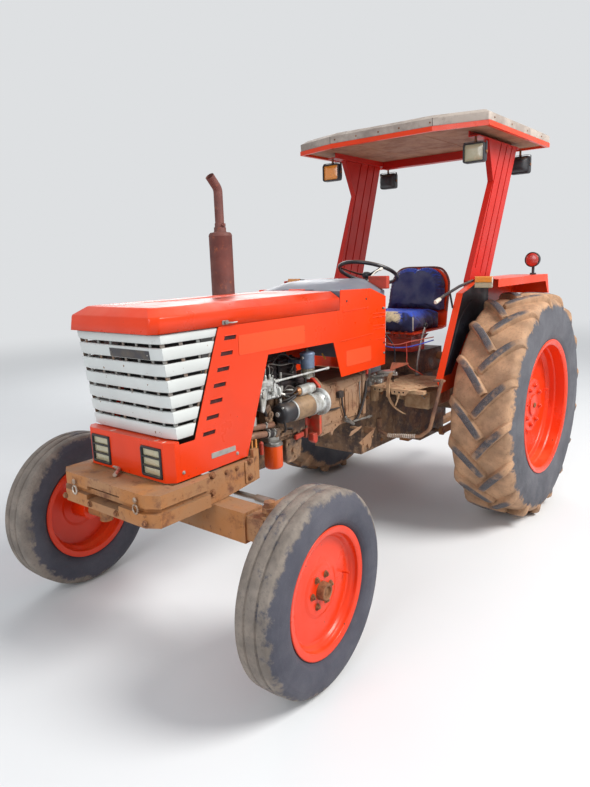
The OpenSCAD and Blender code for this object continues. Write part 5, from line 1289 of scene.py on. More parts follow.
def platform():
    shape = Shape()
    for side in (1, -1):
        slab = rounded([(side * 0.226, -0.935), (side * 0.5, -0.94), (side * 0.522, -0.9),
            (side * 0.545, -0.74), (side * 0.5985, -0.7), (side * 0.5985, -0.42), (side * 0.226, -0.42)],
            0.012, 3)
        shape.plate(slab, "z", 1.0035, 1.01, 0.001)
        for x0, x1, x2, x3, z in ((0.362, 0.5, 0.47, 0.374, 0.972), (0.222, 0.318, 0.3, 0.226, 0.979)):
            shape.plate([(side * x0, 1.006), (side * x1, 1.006), (side * x2, z), (side * x3, z)], "y", -0.938,
                -0.932, 0.001)
        # dark discs on the brackets stand for holes, as painted shade
        for x, z in ((0.395, 0.99), (0.428, 0.989), (0.458, 0.991), (0.25, 0.994), (0.285, 0.993)):
            shape.use(1).rod((side * x, -0.9395, z), (side * x, -0.937, z), 0.0058, 10).use(0)
        for x, y in ((0.45, -0.905), (0.3, -0.9), (0.49, -0.78), (0.38, -0.64), (0.52, -0.56)):
            shape.bolt((side * x, y, 1.01), (0, 0, 1), 0.008)
        for y in (-0.9, -0.52):
            shape.block((side * 0.208 - 0.0175, y, 0.9), (side * 0.208 + 0.0175, y + 0.05, 1.0035), 0.002)
            shape.block((min(side * 0.2, side * 0.58), y, 0.98),
                (max(side * 0.2, side * 0.58), y + 0.04, 1.0035), 0.002)
        for i in range(9):
            for k in range(6):
                x, y = 0.27 + 0.03 * i, -0.87 + 0.062 * k + (0.031 if i % 2 else 0)
                c = 0.008 if (i + k) % 2 else -0.008
                shape.tube([(side * (x - 0.008), y - c, 1.0098), (side * (x + 0.008), y + c, 1.0098)],
                    [0.0022, 0.0022], 6)
    shape.block((0.278, -0.605, 0.812), (0.47, -0.275, 0.93), 0.008)
    shape.block((0.27, -0.612, 0.926), (0.478, -0.268, 0.938), 0.003)
    shape.block((0.189, -0.56, 0.85), (0.28, -0.32, 0.9), 0.004)
    shape.use(2)
    screws(shape, [(0.43, -0.612, 0.93), (0.452, -0.606, 0.918), (0.42, -0.606, 0.905),
        (0.436, -0.606, 0.892), (0.402, -0.606, 0.915)], (0, -1, 0), 0.006)
    return shape.build("platform_plates", "chassis", "dried_mud", "dark_gap", "bare_metal",
        replaces=("platform",))


def steps():
    """Bent tubes with a serrated middle; the left one leans out in front of the fender."""
    shape = Shape()
    for side in (1, -1):
        route = rounded([(side * 0.1905, -0.8, 0.716), (side * 0.192, -0.8, 0.676),
            (side * 0.262, -0.8, 0.65), (side * 0.505, -0.8, 0.678), (side * 0.575, -0.8, 0.735),
            (side * 0.618, -0.8, 0.915), (side * 0.655, -0.8, 1.07)], [0, 0.03, 0.04, 0.06, 0.06, 0.4, 0], 6,
            closed=False)
        shape.use(0).tube(route, 0.0125, 16)
        shape.block((side * 0.2 - 0.012, -0.815, 0.7), (side * 0.2 + 0.012, -0.785, 0.76), 0.003)
        shape.block((min(side * 0.596, side * 0.668), -0.808, 1.052),
            (max(side * 0.596, side * 0.668), -0.774, 1.066), 0.003)
        shape.use(1)
        a, b = Vector((side * 0.268, -0.8, 0.6505)), Vector((side * 0.478, -0.8, 0.675))
        count = 15
        for i in range(count):
            low, high = a.lerp(b, i / count), a.lerp(b, (i + 0.86) / count)
            shape.turned(low, high, [(0, 0.0115), (0.001, 0.0152), (0.0045, 0.0168), (0.0075, 0.015),
                (0.0098, 0.0118)], 10)
    return shape.build("stirrup_steps", "chassis", "step_tan", "worn_steel", replaces=("steps",))


platform()
steps()


# Levers and pedals

def controls():
    shape = Shape()
    # long lever beside the column, and the lever by the seat
    shape.tube(spline([(0.06, -0.7, 0.9603), (0.06, -0.7, 1.05), (0.06, -0.668, 1.18), (0.06, -0.62, 1.3),
        (0.06, -0.56, 1.4)], 6), 0.0085, 14)
    shape.turned((0.06, -0.7, 0.9603), (0.06, -0.7, 1.2), [(0, 0.03), (0.02, 0.028), (0.05, 0.016),
        (0.055, 0.0085)], 20)
    shape.tube(spline([(0.3, -0.45, 1.0103), (0.3, -0.45, 1.1), (0.312, -0.43, 1.23), (0.33, -0.4, 1.35)], 6),
        0.008, 12)
    shape.rod((0.3, -0.45, 1.0103), (0.3, -0.45, 1.03), 0.018, 16)
    shape.use(1).turned((0.06, -0.562, 1.392), (0.06, -0.552, 1.412),
        [(0, 0), (0.001, 0.012), (0.008, 0.02), (0.018, 0.022), (0.03, 0.018), (0.038, 0.008), (0.04, 0)], 24)
    shape.turned((0.329, -0.402, 1.345), (0.336, -0.39, 1.385), [(0, 0), (0.002, 0.01), (0.014, 0.016),
        (0.028, 0.014), (0.038, 0)], 20)
    return shape.build("hand_levers", "chassis", "bare_metal", "wheel_black", replaces=("controls",))


def pedals():
    shape = Shape()
    for x0, x1, y, z in ((0.3, 0.405, -0.96, 1.118), (0.305, 0.415, -0.948, 1.1),
            (0.265, 0.33, -0.97, 1.085)):
        shape.rod((x0, y, z - 0.004), (x1, y + 0.01, z + 0.01), 0.0125, 16)
        shape.rod((x0 - 0.02, y, z - 0.006), (x0, y, z - 0.004), 0.0085, 10)
    shape.block((0.24, -0.99, 1.048), (0.33, -0.95, 1.076), 0.004)
    for x, y, z in ((0.262, -0.992, 1.066), (0.286, -0.994, 1.058), (0.31, -0.992, 1.064),
            (0.276, -0.985, 1.1), (0.255, -0.98, 1.088)):
        shape.bolt((x, y, z), (0, -1, 0), 0.007)
    shape.use(1)
    # curved pedal arm in front of the platform, with the pads
    for half, deep, route in ((0.011, 0.01, [(0.4, -0.958, 1.15), (0.39, -0.962, 1.125),
            (0.368, -0.962, 1.085), (0.358, -0.96, 1.035), (0.354, -0.955, 0.955)]),
            (0.009, 0.008, [(0.354, -0.95, 0.96), (0.375, -0.935, 0.905), (0.402, -0.92, 0.872),
            (0.445, -0.9, 0.842)])):
        shape.grid([[(p.x - half, p.y, p.z), (p.x + half, p.y, p.z), (p.x + half, p.y + deep, p.z),
            (p.x - half, p.y + deep, p.z)] for p in spline(route, 5)], across=True, caps=True)
    shape.tube([(0.432, -0.95, 0.972), (0.418, -0.945, 0.935), (0.404, -0.942, 0.902)], 0.0055, 8)
    shape.use(2)
    pad = [(0.398, -1.0, 1.144), (0.4125, -1.0, 1.19), (0.475, -0.905, 1.178), (0.448, -0.905, 1.168)]
    low = [Vector(p) + Vector((0.001, 0.004, -0.007)) for p in pad]
    shape.grid([pad, low], across=True, caps=True)
    for i in range(1, 6):
        a, b = Vector(pad[0]).lerp(Vector(pad[3]), i / 6), Vector(pad[1]).lerp(Vector(pad[2]), i / 6)
        shape.tube([a, b], 0.0022, 6)
    return shape.build("pedals", "chassis", "bare_metal", "dried_mud", "pedal_brown")


controls()
pedals()


# Bonnet: the smooth lid, marks on the panels and the parts round the cowl

LID_HALF, LID_FRONT, LID_REAR = 0.312, -2.745, -1.415


def bonnet():
    def ring(aside, ahead, z):
        half, front = LID_HALF - aside, LID_FRONT + ahead
        cut, bend = min(0.03, half * 0.5), min(0.02, half * 0.3)
        plan = rounded([(half, LID_REAR), (half, front + cut * 1.13), (half - cut, front),
            (cut - half, front), (-half, front + cut * 1.13), (-half, LID_REAR)],
            [0, bend, bend, bend, bend, 0], 3, closed=False)
        return [(p.x, p.y, z) for p in plan]

    profile = rounded([(0, -0.012, 1.5445), (0, 0, 1.612), (0.06, 0.048, 1.65), (0.3, 0.29, 1.655)], 0.016, 5,
        closed=False)
    rows = [ring(*p) for p in profile]
    shape = Shape()
    shape.grid(rows)
    top = rows[-1]
    half = len(top) // 2
    shape.add(top, [(i, i + 1, len(top) - 2 - i, len(top) - 1 - i) for i in range(half - 1)])
    piece = shape.build("bonnet_skin", "lid", "body_red", "bare_metal", replaces=("bonnet_lid",), smooth=60)
    thick = piece.modifiers.new("Sheet", "SOLIDIFY")
    thick.thickness, thick.offset = 0.003, -1.0
    hinge = Shape()
    hinge.rod((-0.06, -1.406, 1.654), (0.06, -1.406, 1.654), 0.008, 18)
    hinge.block((-0.06, -1.4205, 1.6462), (0.06, -1.406, 1.6498), 0.001)
    for x in (-0.04, 0.04):
        hinge.bolt((x, -1.4145, 1.6555), (0, 0, 1), 0.005, washer=False)
    for y in (-2.4, -2.08, -1.76):
        hinge.block((-0.29, y, 1.6035), (0.29, y + 0.022, 1.6115), 0.002)
    hinge.build("bonnet_fittings", "lid", "body_red")


def panel_marks():
    """Pressed lines, louvre lips, latch and the bare plates of the side panels."""
    shape = Shape()
    for side in (1, -1):
        x = side * 0.3095
        for a, b in (((-1.385, 1.532), (-1.099, 1.537)), ((-1.415, 1.363), (-1.053, 1.373))):
            shape.tube([(x, a[0], a[1]), (x, b[0], b[1])], 0.0036, 8)
        for z in (1.492, 1.47, 1.417, 1.397):
            shape.tube([(x, -1.06, z), (x, -1.05, z), (x, -0.915, z), (x, -0.906, z)],
                [0.001, 0.0038, 0.0038, 0.001], 8)
        shape.tube([(x, -1.024, 1.33), (x, -1.014, 1.33), (x, -0.915, 1.33), (x, -0.907, 1.33)],
            [0.001, 0.0038, 0.0038, 0.001], 8)
        for i in range(7):
            y, z = LID_FRONT + 0.397 - 0.028 * i, 1.477 - 0.07 * i
            shape.tube([(x, y + 0.004, z + 0.0215), (x, y + 0.084, z + 0.0215)], 0.003, 8)
            # dark maroon sheets in the louvre slots are painted shade for their insides
            shape.use(1).plate([(y - 0.002, z - 0.004), (y + 0.082, z - 0.004), (y + 0.089, z + 0.024),
                (y + 0.005, z + 0.024)], "x", min(side * 0.3, side * 0.3055), max(side * 0.3, side * 0.3055),
                0.001).use(0)
        shape.use(2)
        low, high = sorted((side * 0.3102, side * 0.3122))
        shape.plate(rounded(rectangle(-2.254, 1.395, -1.744, 1.49), 0.008, 3), "x", low, high, 0.0006)
        shape.plate(rounded(rectangle(-1.355, 1.206, -1.081, 1.3), 0.01, 3), "x", low, high, 0.0006)
        shape.use(3).plate(rounded(rectangle(-2.47, 0.942, -2.311, 0.968), 0.003, 2), "x", low, high, 0.0006)
        shape.plate(rounded(rectangle(-2.357, 1.549, -2.316, 1.569), 0.004, 2), "x",
            *sorted((side * 0.3115, side * 0.3165)), 0.001)
        shape.rod((side * 0.316, -2.337, 1.559), (side * 0.326, -2.337, 1.559), 0.0095, 16)
        shape.tube([(side * 0.324, -2.337, 1.559), (side * 0.325, -2.3, 1.556), (side * 0.325, -2.27, 1.557)],
            [0.0045, 0.004, 0.003], 8)
        for y, z in ((-0.925, 1.235), (-0.925, 1.52), (-2.3, 0.925), (-2.64, 0.925)):
            shape.bolt((side * 0.3098, y, z), (side, 0, 0), 0.0065)
    shape.use(4)
    for a, b in (((0.206, -2.741), (0.21, -2.716)), ((0.262, -2.742), (0.259, -2.718)),
            ((-0.12, -2.738), (-0.105, -2.717))):
        shape.tube([(a[0], a[1] + 0.034, 1.0702), (b[0], b[1] + 0.034, 1.0702)], 0.0017, 6)
    shape.build("panel_marks", "chassis", "body_red", "louvre_slot_shade", "faded_red", "bare_metal",
        "pale_plastic")
    # blank plate on the grille, a flat bar that stands on two studs
    plate = Shape()
    grille = frame["nodes"]["grille"]
    tree = BVHTree.FromPolygons([grille.matrix_world @ v.co for v in grille.data.vertices],
        [p.vertices for p in grille.data.polygons])

    def face(x, z):
        hit = tree.ray_cast(at(x, -4.0, z), Vector((0, 1, 0)))[0]
        return hit.y - AXLE_Y - 0.0004

    y0, y1 = face(0.09, 1.44), face(0.09, 1.465)
    slope = (y1 - y0) / 0.025
    corners = [(x, y0 + (z - 1.44) * slope, z) for x, z in ((-0.046, 1.432), (0.231, 1.432), (0.231, 1.47),
        (-0.046, 1.47))]
    plate.grid([corners, [(x, y - 0.0022, z) for x, y, z in corners],
        [(0.0925 + (x - 0.0925) * 0.985, y - 0.003, 1.451 + (z - 1.451) * 0.93) for x, y, z in corners]],
        across=True, caps=True)
    plate.use(1)
    for x in (-0.036, 0.221):
        plate.rod((x, y0 + 0.011 * slope - 0.0028, 1.451), (x, y0 + 0.011 * slope - 0.0048, 1.451), 0.0032,
            10)
    plate.build("blank_nameplate", "chassis", "dark_plate", "bare_metal")


def cowl():
    """Arched instrument cowl: a flat crown that falls to both shoulders, and the wall below it."""
    def arch(y, crown, shoulder, wide, side=0.3055):
        row = [(-side, y, 1.5605), (-side, y, 1.6)]
        for i in range(-14, 15):
            x = side * i / 14
            fall = max(0.0, (abs(x) - wide) / (side - wide))
            row.append((x, y, shoulder + (crown - shoulder) * (1 - fall ** 1.7)))
        return row + [(side, y, 1.6), (side, y, 1.5605)]

    shape = Shape()
    rows = [arch(-1.3928, 1.651, 1.649, 0.2), arch(-1.385, 1.656, 1.649, 0.19),
        arch(-1.335, 1.686, 1.649, 0.15), arch(-1.29, 1.701, 1.648, 0.13), arch(-1.2, 1.7075, 1.646, 0.12),
        arch(-1.0, 1.708, 1.636, 0.12), arch(-0.925, 1.706, 1.63, 0.12), arch(-0.908, 1.702, 1.627, 0.118),
        arch(-0.9025, 1.695, 1.62, 0.115, 0.301)]
    shape.grid(rows, across=True, caps=True)
    shape.block((-0.3055, -0.93, 1.1805), (0.3055, -0.9025, 1.562), 0.003)
    for x0, x1 in ((-0.118, -0.062), (0.062, 0.118)):
        shape.rod((x0, -1.406, 1.654), (x1, -1.406, 1.654), 0.008, 18)
        shape.block((x0, -1.406, 1.6462), (x1, -1.3875, 1.6498), 0.001)
    shape.rod((-0.118, -1.406, 1.654), (0.118, -1.406, 1.654), 0.0039, 12)
    for z in (1.3, 1.42):
        shape.block((-0.29, -0.9025, z), (0.29, -0.8985, z + 0.012), 0.001)
    return shape.build("cowl_arch", "chassis", "cowl_grey", replaces=("dash_cowl",), smooth=32)


def cowl_parts():
    shape = Shape()
    shape.block((0.206, -0.9425, 1.64), (0.342, -0.905, 1.719), 0.004)
    shape.use(1).tube(spline([(0.14, -0.905, 1.62), (0.17, -0.88, 1.69), (0.19, -0.83, 1.742),
        (0.2, -0.79, 1.756)], 5), 0.0052, 10)
    shape.turned((0.1985, -0.796, 1.7545), (0.206, -0.762, 1.763), [(0, 0), (0.002, 0.008), (0.018, 0.011),
        (0.03, 0.008), (0.033, 0)], 16)
    shape.use(2)
    for x in (-0.15, 0.0, 0.15):
        z = 1.644 if x == 0 else 1.632
        shape.turned((x, -0.9035, z), (x, -0.5, z), [(0, 0.046), (0.004, 0.047), (0.01, 0.043), (0.01, 0.04),
            (0.007, 0.038), (0.007, 0)], 32)
    for x in (-0.23, -0.085, 0.085, 0.235):
        shape.rod((x, -0.9035, 1.572), (x, -0.886, 1.572), 0.009, 16)
    for side in (1, -1):
        for y, z in ((-1.34, 1.59), (-1.13, 1.59), (-0.94, 1.52), (-0.925, 1.3)):
            shape.bolt((side * 0.3055, y, z), (side, 0, 0), 0.007)
    # wiring that droops behind the cowl; three of its ends hang free
    shape.use(3).tube(spline([(0.235, -0.898, 1.3), (0.29, -0.84, 1.262), (0.35, -0.76, 1.25),
        (0.42, -0.7, 1.262), (0.5, -0.61, 1.29)], 6), 0.0042, 8)
    shape.use(0).tube(spline([(0.24, -0.898, 1.31), (0.33, -0.82, 1.275), (0.4, -0.74, 1.29),
        (0.5, -0.61, 1.31)], 6), 0.0034, 8)
    shape.tube(spline([(0.38, -0.76, 1.283), (0.384, -0.76, 1.21), (0.39, -0.75, 1.13), (0.45, -0.66, 1.06)],
        6), 0.003, 8)
    shape.use(2).tube(spline([(0.2, -0.898, 1.4), (0.26, -0.84, 1.35), (0.3, -0.78, 1.25),
        (0.29, -0.76, 1.12), (0.27, -0.74, 1.012)], 6), 0.005, 8)
    return shape.build("cowl_parts", "chassis", "dull_red", "pale_plastic", "wheel_black", "wire_blue")


COLUMN_LEAN, WHEEL_CENTRE = math.radians(22.3), (0, -0.612, 1.733)


def column():
    shape = Shape()
    tilt = Vector((0, math.sin(COLUMN_LEAN), math.cos(COLUMN_LEAN)))
    top = Vector(WHEEL_CENTRE)
    foot = top - tilt * 0.8
    shape.turned(foot, top, [(0, 0), (0, 0.026), (0.56, 0.026), (0.565, 0.031), (0.655, 0.031), (0.66, 0.027),
        (0.678, 0.025), (0.68, 0.011), (0.776, 0.011), (0.776, 0)], 28)
    for d in (0.06, 0.085, 0.11):
        shape.turned(foot + tilt * d, top, [(0, 0.026), (0.006, 0.037), (0.012, 0.037), (0.02, 0.026)], 28)
    shape.block((-0.06, -1.0, 0.96), (0.06, -0.86, 1.03), 0.008)
    shape.block((-0.05, -0.965, 1.026), (0.05, -0.885, 1.062), 0.006)
    for x in (-0.045, 0.045):
        for y in (-0.985, -0.875):
            shape.bolt((x, y, 1.03), (0, 0, 1), 0.008)
    bow = foot + tilt * 0.61
    shape.use(1).block((bow.x - 0.036, bow.y - 0.02, bow.z - 0.01),
        (bow.x + 0.036, bow.y + 0.02, bow.z + 0.01), 0.004)
    shape.tube(spline([bow + Vector((-0.03, 0, 0)), bow + Vector((-0.095, -0.008, 0.014)),
        bow + Vector((-0.135, -0.012, 0.03))], 5), 0.0042, 8)
    return shape.build("column_parts", "chassis", "lamp_black", "wheel_black", replaces=("steering_column",))


def hand_wheel():
    place = CAB @ Matrix.Translation(WHEEL_CENTRE) @ Matrix.Rotation(-COLUMN_LEAN, 4, "X")
    shape = Shape(place)
    ring = [(0.013 * math.sin(k * math.tau / 14), 0.202 + 0.013 * math.cos(k * math.tau / 14))
        for k in range(14)]
    shape.turned((0, 0, 0), (0, 0, 1), ring, 72, closed=True)
    for i in range(24):
        t = i * math.tau / 24
        shape.rod((0.19 * math.cos(t), 0.19 * math.sin(t), -0.007),
            (0.194 * math.cos(t), 0.194 * math.sin(t), -0.003), 0.004, 6)
    for i in range(3):
        t = math.radians(90 + 120 * i)
        c, s = math.cos(t), math.sin(t)
        rows = []
        for r, z, w, h in ((0.028, -0.02, 0.02, 0.0045), (0.07, -0.019, 0.015, 0.004),
                (0.13, -0.01, 0.012, 0.0036), (0.175, -0.002, 0.012, 0.0034), (0.196, 0.0, 0.015, 0.004)):
            rows.append([(r * c - w * s * a, r * s + w * c * a, z + h * b) for a,
                b in ((1, 0), (0.8, 0.8), (0.3, 1), (-0.3, 1), (-0.8, 0.8), (-1, 0), (-0.8, -0.8), (-0.3, -1),
                (0.3, -1), (0.8, -0.8))])
        shape.grid(rows, across=True, caps=True)
    shape.turned((0, 0, -0.04), (0, 0, 1), [(0, 0), (0, 0.03), (0.004, 0.034), (0.022, 0.038), (0.03, 0.037),
        (0.036, 0.031), (0.04, 0.018), (0.041, 0)], 36)
    shape.use(1).turned((0, 0, -0.001), (0, 0, 1), [(0, 0.012), (0.004, 0.012), (0.005, 0.009), (0.005, 0)],
        20)
    return shape.build("hand_wheel_rim", "hand_wheel", "wheel_black", "bare_metal",
        replaces=("steering_wheel",))


def grille_slats():
    """Seven folded slats that wrap round the nose, with straps and spacers set back behind them."""
    low, high, count, pitch, gap = 1.076, 1.54, 7, 0.0703, 0.015
    half_wide, corner, spacer_half, set_back = 0.302, 0.062, 0.007, 0.0085

    def front(z):
        return -2.725 + 0.055 * (high - z) / (high - low)

    def back(z):
        return -2.565 + 0.185 * (z - low) / (high - low)

    def plan(z, deep, level):
        y, half = front(level) + deep, half_wide - deep
        return [(half, back(z), z), (half, y + 0.014, z), (half - corner, y, z), (corner - half, y, z),
            (-half, y + 0.014, z), (-half, back(z), z)]

    shape = Shape()
    for i in range(count):
        z0 = low if i == 0 else low + 0.002 + i * pitch
        z1 = high if i == count - 1 else low + (i + 1) * pitch - gap
        loop = [(z0, 0.016), (z0, 0.003), (z0 + 0.004, 0.0), (z1 - 0.004, 0.0), (z1, 0.003), (z1, 0.016),
            (z1 - 0.003, 0.016), (z1 - 0.003, 0.004), (z0 + 0.003, 0.004), (z0 + 0.003, 0.016)]
        rows = [plan(z, deep, z) for z, deep in loop]
        shape.use(0).grid(rows, along=True)
        for end in (0, 5):
            shape.add([row[end] for row in rows], [list(range(len(rows)))])
    fold = half_wide - corner - spacer_half
    # the spacers and straps, set back behind the slats, take a grey as painted shade on the white grille, with
    # brown rust blotches
    shape.use(1)
    for x in (-fold, -fold * 0.6, -fold * 0.2, fold * 0.2, fold * 0.6, fold):
        rows = [[(x + dx, front(z) + a + dy, z) for dx, dy in ((-spacer_half, 0), (spacer_half, 0),
            (spacer_half, 0.004), (-spacer_half, 0.004))] for z,
            a in ((low + 0.002, set_back), (high - 0.002, set_back))]
        shape.grid(rows, across=True, caps=True)
    for side in (1, -1):
        for near, wide in ((0.002, 0.022), (0.104, 0.02), (0.204, 0.02)):
            tops = [z for z in (low + 0.002, high - 0.002)
                if front(z) + 0.014 + near + wide < back(z) - 0.006]
            if not tops:
                continue
            first = low + 0.002
            while front(first) + 0.014 + near + wide > back(first) - 0.006:
                first += 0.01
            rows = [[(side * (0.302 - a), y + 0.014 + near, z),
                (side * (0.302 - a), y + 0.014 + near + wide, z),
                (side * (0.298 - a), y + 0.014 + near + wide, z), (side * (0.298 - a), y + 0.014 + near, z)]
                for z, y, a in ((first, front(first), set_back), (high - 0.002, front(high), set_back))]
            shape.grid(rows, across=True, caps=True)
    # rear edge strips that close the slats' ends
    # these strips take the same grey, as painted shade
    for side in (1, -1):
        rows = [[(side * 0.3005, back(z) - 0.012, z), (side * 0.3005, back(z) - 0.001, z),
            (side * 0.295, back(z) - 0.001, z), (side * 0.295, back(z) - 0.012, z)] for z in (low, high)]
        shape.grid(rows, across=True, caps=True)
    return shape.build("grille_slats", "chassis", "grille_white", "strap_shade_and_rust", replaces=("grille",))


bonnet()
grille_slats()
panel_marks()
cowl()
cowl_parts()
column()
hand_wheel()


# Seat: two stuffed pads that are blown up by a short cloth run, and what holds them

def stuffed(node, name, cover, cap, frames=20):
    source = frame["nodes"][node]
    mesh = source.data.copy()
    mesh.transform(source.matrix_world)
    piece = bpy.data.objects.new(name, mesh)
    bpy.context.scene.collection.objects.link(piece)
    cells = piece.modifiers.new("Cells", "REMESH")
    cells.mode, cells.voxel_size = "VOXEL", 0.006
    soft = piece.modifiers.new("Even", "SMOOTH")
    soft.factor, soft.iterations = 0.5, 6

    def baked():
        graph = bpy.context.evaluated_depsgraph_get()
        made = bpy.data.meshes.new_from_object(piece.evaluated_get(graph))
        piece.modifiers.clear()
        piece.data = made
        return made

    mesh = baked()
    start = [v.co.copy() for v in mesh.vertices]
    cloth = piece.modifiers.new("Cloth", "CLOTH")
    cloth.settings.quality = 6
    cloth.settings.mass = 0.3
    cloth.settings.tension_stiffness = cloth.settings.compression_stiffness = 18
    cloth.settings.shear_stiffness = 8
    cloth.settings.bending_stiffness = 0.6
    cloth.settings.use_pressure = True
    cloth.settings.uniform_pressure_force = 4.0
    cloth.settings.effector_weights.gravity = 0.0
    cloth.point_cache.frame_start, cloth.point_cache.frame_end = 1, frames
    for number in range(1, frames + 1):
        bpy.context.scene.frame_set(number)
    mesh = baked()
    bpy.context.scene.frame_set(1)
    for vertex, first in zip(mesh.vertices, start):
        move = vertex.co - first
        if move.length > cap:
            vertex.co = first + move * (cap / move.length)
    mesh.materials.clear()
    mesh.materials.append(MATERIALS[cover])
    mesh.polygons.foreach_set("use_smooth", [True] * len(mesh.polygons))
    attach(piece, "chassis")
    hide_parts(node)
    return piece


def seat_fittings():
    shape = Shape()
    # bound rim of the back, then the frame's arm, foot, springs and plate
    arc = [(-0.246, 1.42), (-0.248, 1.58), (-0.24, 1.652), (-0.2, 1.716), (-0.14, 1.745), (0.0, 1.748),
        (0.14, 1.745), (0.2, 1.716), (0.24, 1.652), (0.248, 1.58), (0.246, 1.42)]
    shape.tube(spline([(x, 0.098 + (z - 1.302) / 6, z) for x, z in arc], 4), 0.0085, 12)
    shape.use(1)
    for x in (0.205, -0.205):
        shape.tube(rounded([(x, -0.02, 1.408), (x, -0.232, 1.277), (x, -0.282, 1.277)], 0.015, 3,
            closed=False), 0.011, 12)
    spring_y, spring_z = -0.404, 1.262
    for x in (-0.17, -0.12, -0.07, -0.02, 0.03, 0.08, 0.13, 0.18):
        coil = [(x + 0.01 * math.cos(k * 0.7), spring_y + 0.01 * math.sin(k * 0.7), spring_z + 0.0011 * k)
            for k in range(46)]
        shape.tube(coil, 0.0021, 6)
    shape.tube([(-0.215, spring_y, spring_z), (0.215, spring_y, spring_z)], 0.0065, 10)
    shape.block((-0.215, -0.395, 1.272), (-0.19, -0.15, 1.289), 0.003)
    shape.block((0.19, -0.395, 1.272), (0.215, -0.15, 1.289), 0.003)
    shape.plate([(-0.3, 1.262), (-0.044, 1.262), (-0.161, 1.212)], "x", 0.176, 0.18, 0.0008)
    shape.use(2).tube([(0.238, -0.404, 1.318), (0.24, -0.409, 1.345), (0.24, -0.409, 1.385),
        (0.236, -0.404, 1.412)], 0.004, 8)
    for point, r in (((0.03, -0.47, 1.47), 0.012), ((0.055, -0.48, 1.425), 0.01)):
        shape.rod((point[0], point[1], 1.3), point, 0.0048, 8)
        shape.turned((point[0], point[1], point[2] - r), (point[0], point[1], 3),
            [(0, 0), (r * 0.2, r * 0.7), (r * 0.8, r), (r * 1.4, r * 0.8), (r * 1.9, 0)], 16)
    shape.use(3).tube([(0.03, -0.47, 1.302), (0.055, -0.48, 1.302), (0.055, -0.3, 1.282)], 0.006, 8)
    return shape.build("seat_fittings", "chassis", "seat_rim", "dull_red", "pale_plastic", "bare_metal")


stuffed("seat_cushion", "seat_cushion_pad", "seat_cover", 0.024)
stuffed("seat_backrest", "seat_back_pad", "back_cover", 0.022)
seat_fittings()


# Fenders: the grab rail with its stay and grip, and on each inner wall a sheet, a crease line and bolts

def cab_hardware():
    shape = Shape()
    for side in (1, -1):
        x = side * 0.622
        rail = rounded([(x, -0.825, 1.556), (x, -0.7, 1.59), (x, -0.5, 1.632), (x, -0.327, 1.656),
            (side * 0.612, -0.27, 1.66), (side * 0.6045, -0.24, 1.655)], [0, 0.03, 0.03, 0.02, 0.02, 0], 4,
            closed=False)
        shape.use(1).tube(rail, 0.0095, 12)
        shape.tube([(x, -0.64, 1.602), (side * 0.606, -0.56, 1.5)], 0.0065, 10)
        # the pale grip at the rail's front end is a painted highlight for the glint on its knob
        shape.use(2).turned((x, -0.842, 1.5515), (x, -0.78, 1.5685), [(0, 0), (0.002, 0.01), (0.01, 0.0135),
            (0.06, 0.0125), (0.066, 0.0095)], 18)
        low, high = sorted((side * 0.6043, side * 0.606))
        # a black sheet over each fender's inner wall is painted shade under the fender
        shape.use(1).plate([(-0.7, 1.1), (-0.452, 1.568), (-0.195, 1.64), (0.03, 1.648), (0.03, 1.42),
            (-0.33, 1.3), (-0.56, 1.066), (-0.69, 1.066)], "x", low, high, 0.0006)
        crease = spline([(side * 0.6065, y, z) for y, z in ((-0.64, 1.12), (-0.545, 1.26), (-0.455, 1.4),
            (-0.36, 1.48), (-0.25, 1.53))], 5)
        shape.use(3).tube(crease, 0.0028, 8)
        shape.use(0)
        for y, z in ((-0.7, 1.13), (-0.615, 1.3), (-0.53, 1.47)):
            shape.bolt((side * 0.6045, y, z), (side, 0, 0), 0.007)
    return shape.build("cab_hardware", "chassis", "bar_red", "wheel_black", "pale_plastic", "lamp_black")


cab_hardware()


# Ballast, front frame and rear axle: bolts, plates and rings

def frame_hardware():
    shape = Shape()
    # pin with a bent handle on top of the ballast, and the two ring bolts
    handle = rounded([(-0.203, -2.702, 0.8), (-0.203, -2.702, 0.895), (-0.132, -2.701, 0.897),
        (-0.054, -2.72, 0.897), (-0.006, -2.78, 0.893)], [0, 0.014, 0.02, 0.02, 0], 5, closed=False)
    shape.use(1).tube(handle, 0.0095, 12)
    for x, z in ((-0.214, 0.806), (0.244, 0.814)):
        shape.use(1).rod((x, -2.862, z + 0.04), (x, -2.8665, z + 0.04), 0.013, 6)
        circle = [(x + 0.016 * math.sin(k * math.tau / 20), -2.8635, z + 0.02 * math.cos(k * math.tau / 20))
            for k in range(21)]
        shape.tube(circle, 0.0045, 8)
    for side in (1, -1):
        for y, z in ((-2.496, 0.875), (-2.502, 0.793), (-2.244, 0.874), (-2.246, 0.794)):
            shape.use(2).bolt((side * 0.336, y, z), (side, 0, 0), 0.013)
        low, high = sorted((side * 0.3305, side * 0.3365))
        for y0, y1 in ((-2.53, -2.47), (-2.276, -2.212)):
            shape.use(0).plate(rounded(rectangle(y0, 0.768, y1, 0.879), 0.006, 2), "x", low, high, 0.0015)
        for y in (-2.4, -2.33):
            shape.use(2).bolt((side * 0.3305, y, 0.862), (side, 0, 0), 0.009)
    for x in (-0.3, -0.1, 0.1, 0.3):
        shape.use(2).bolt((x, -2.862, 0.76), (0, -1, 0), 0.011)
    # axle flange bolts, and the bolts on the sides of the gearbox
    for side in (1, -1):
        for i in range(8):
            t = i * math.tau / 8 + 0.2
            shape.use(2).bolt((side * 0.192, 0.125 * math.cos(t), 0.785 + 0.125 * math.sin(t)), (side, 0, 0),
                0.011)
        for y in (-0.94, -0.76, -0.6):
            for z in (0.93, 0.6):
                shape.bolt((side * 0.1905, y, z), (side, 0, 0), 0.01)
    return shape.build("frame_hardware", "chassis", "chassis_tan", "worn_steel", "rusty_bolt")


frame_hardware()


# Stage: pale floor that fades into the pale background, soft light and the camera

PAPER = rgb(222, 224, 226)


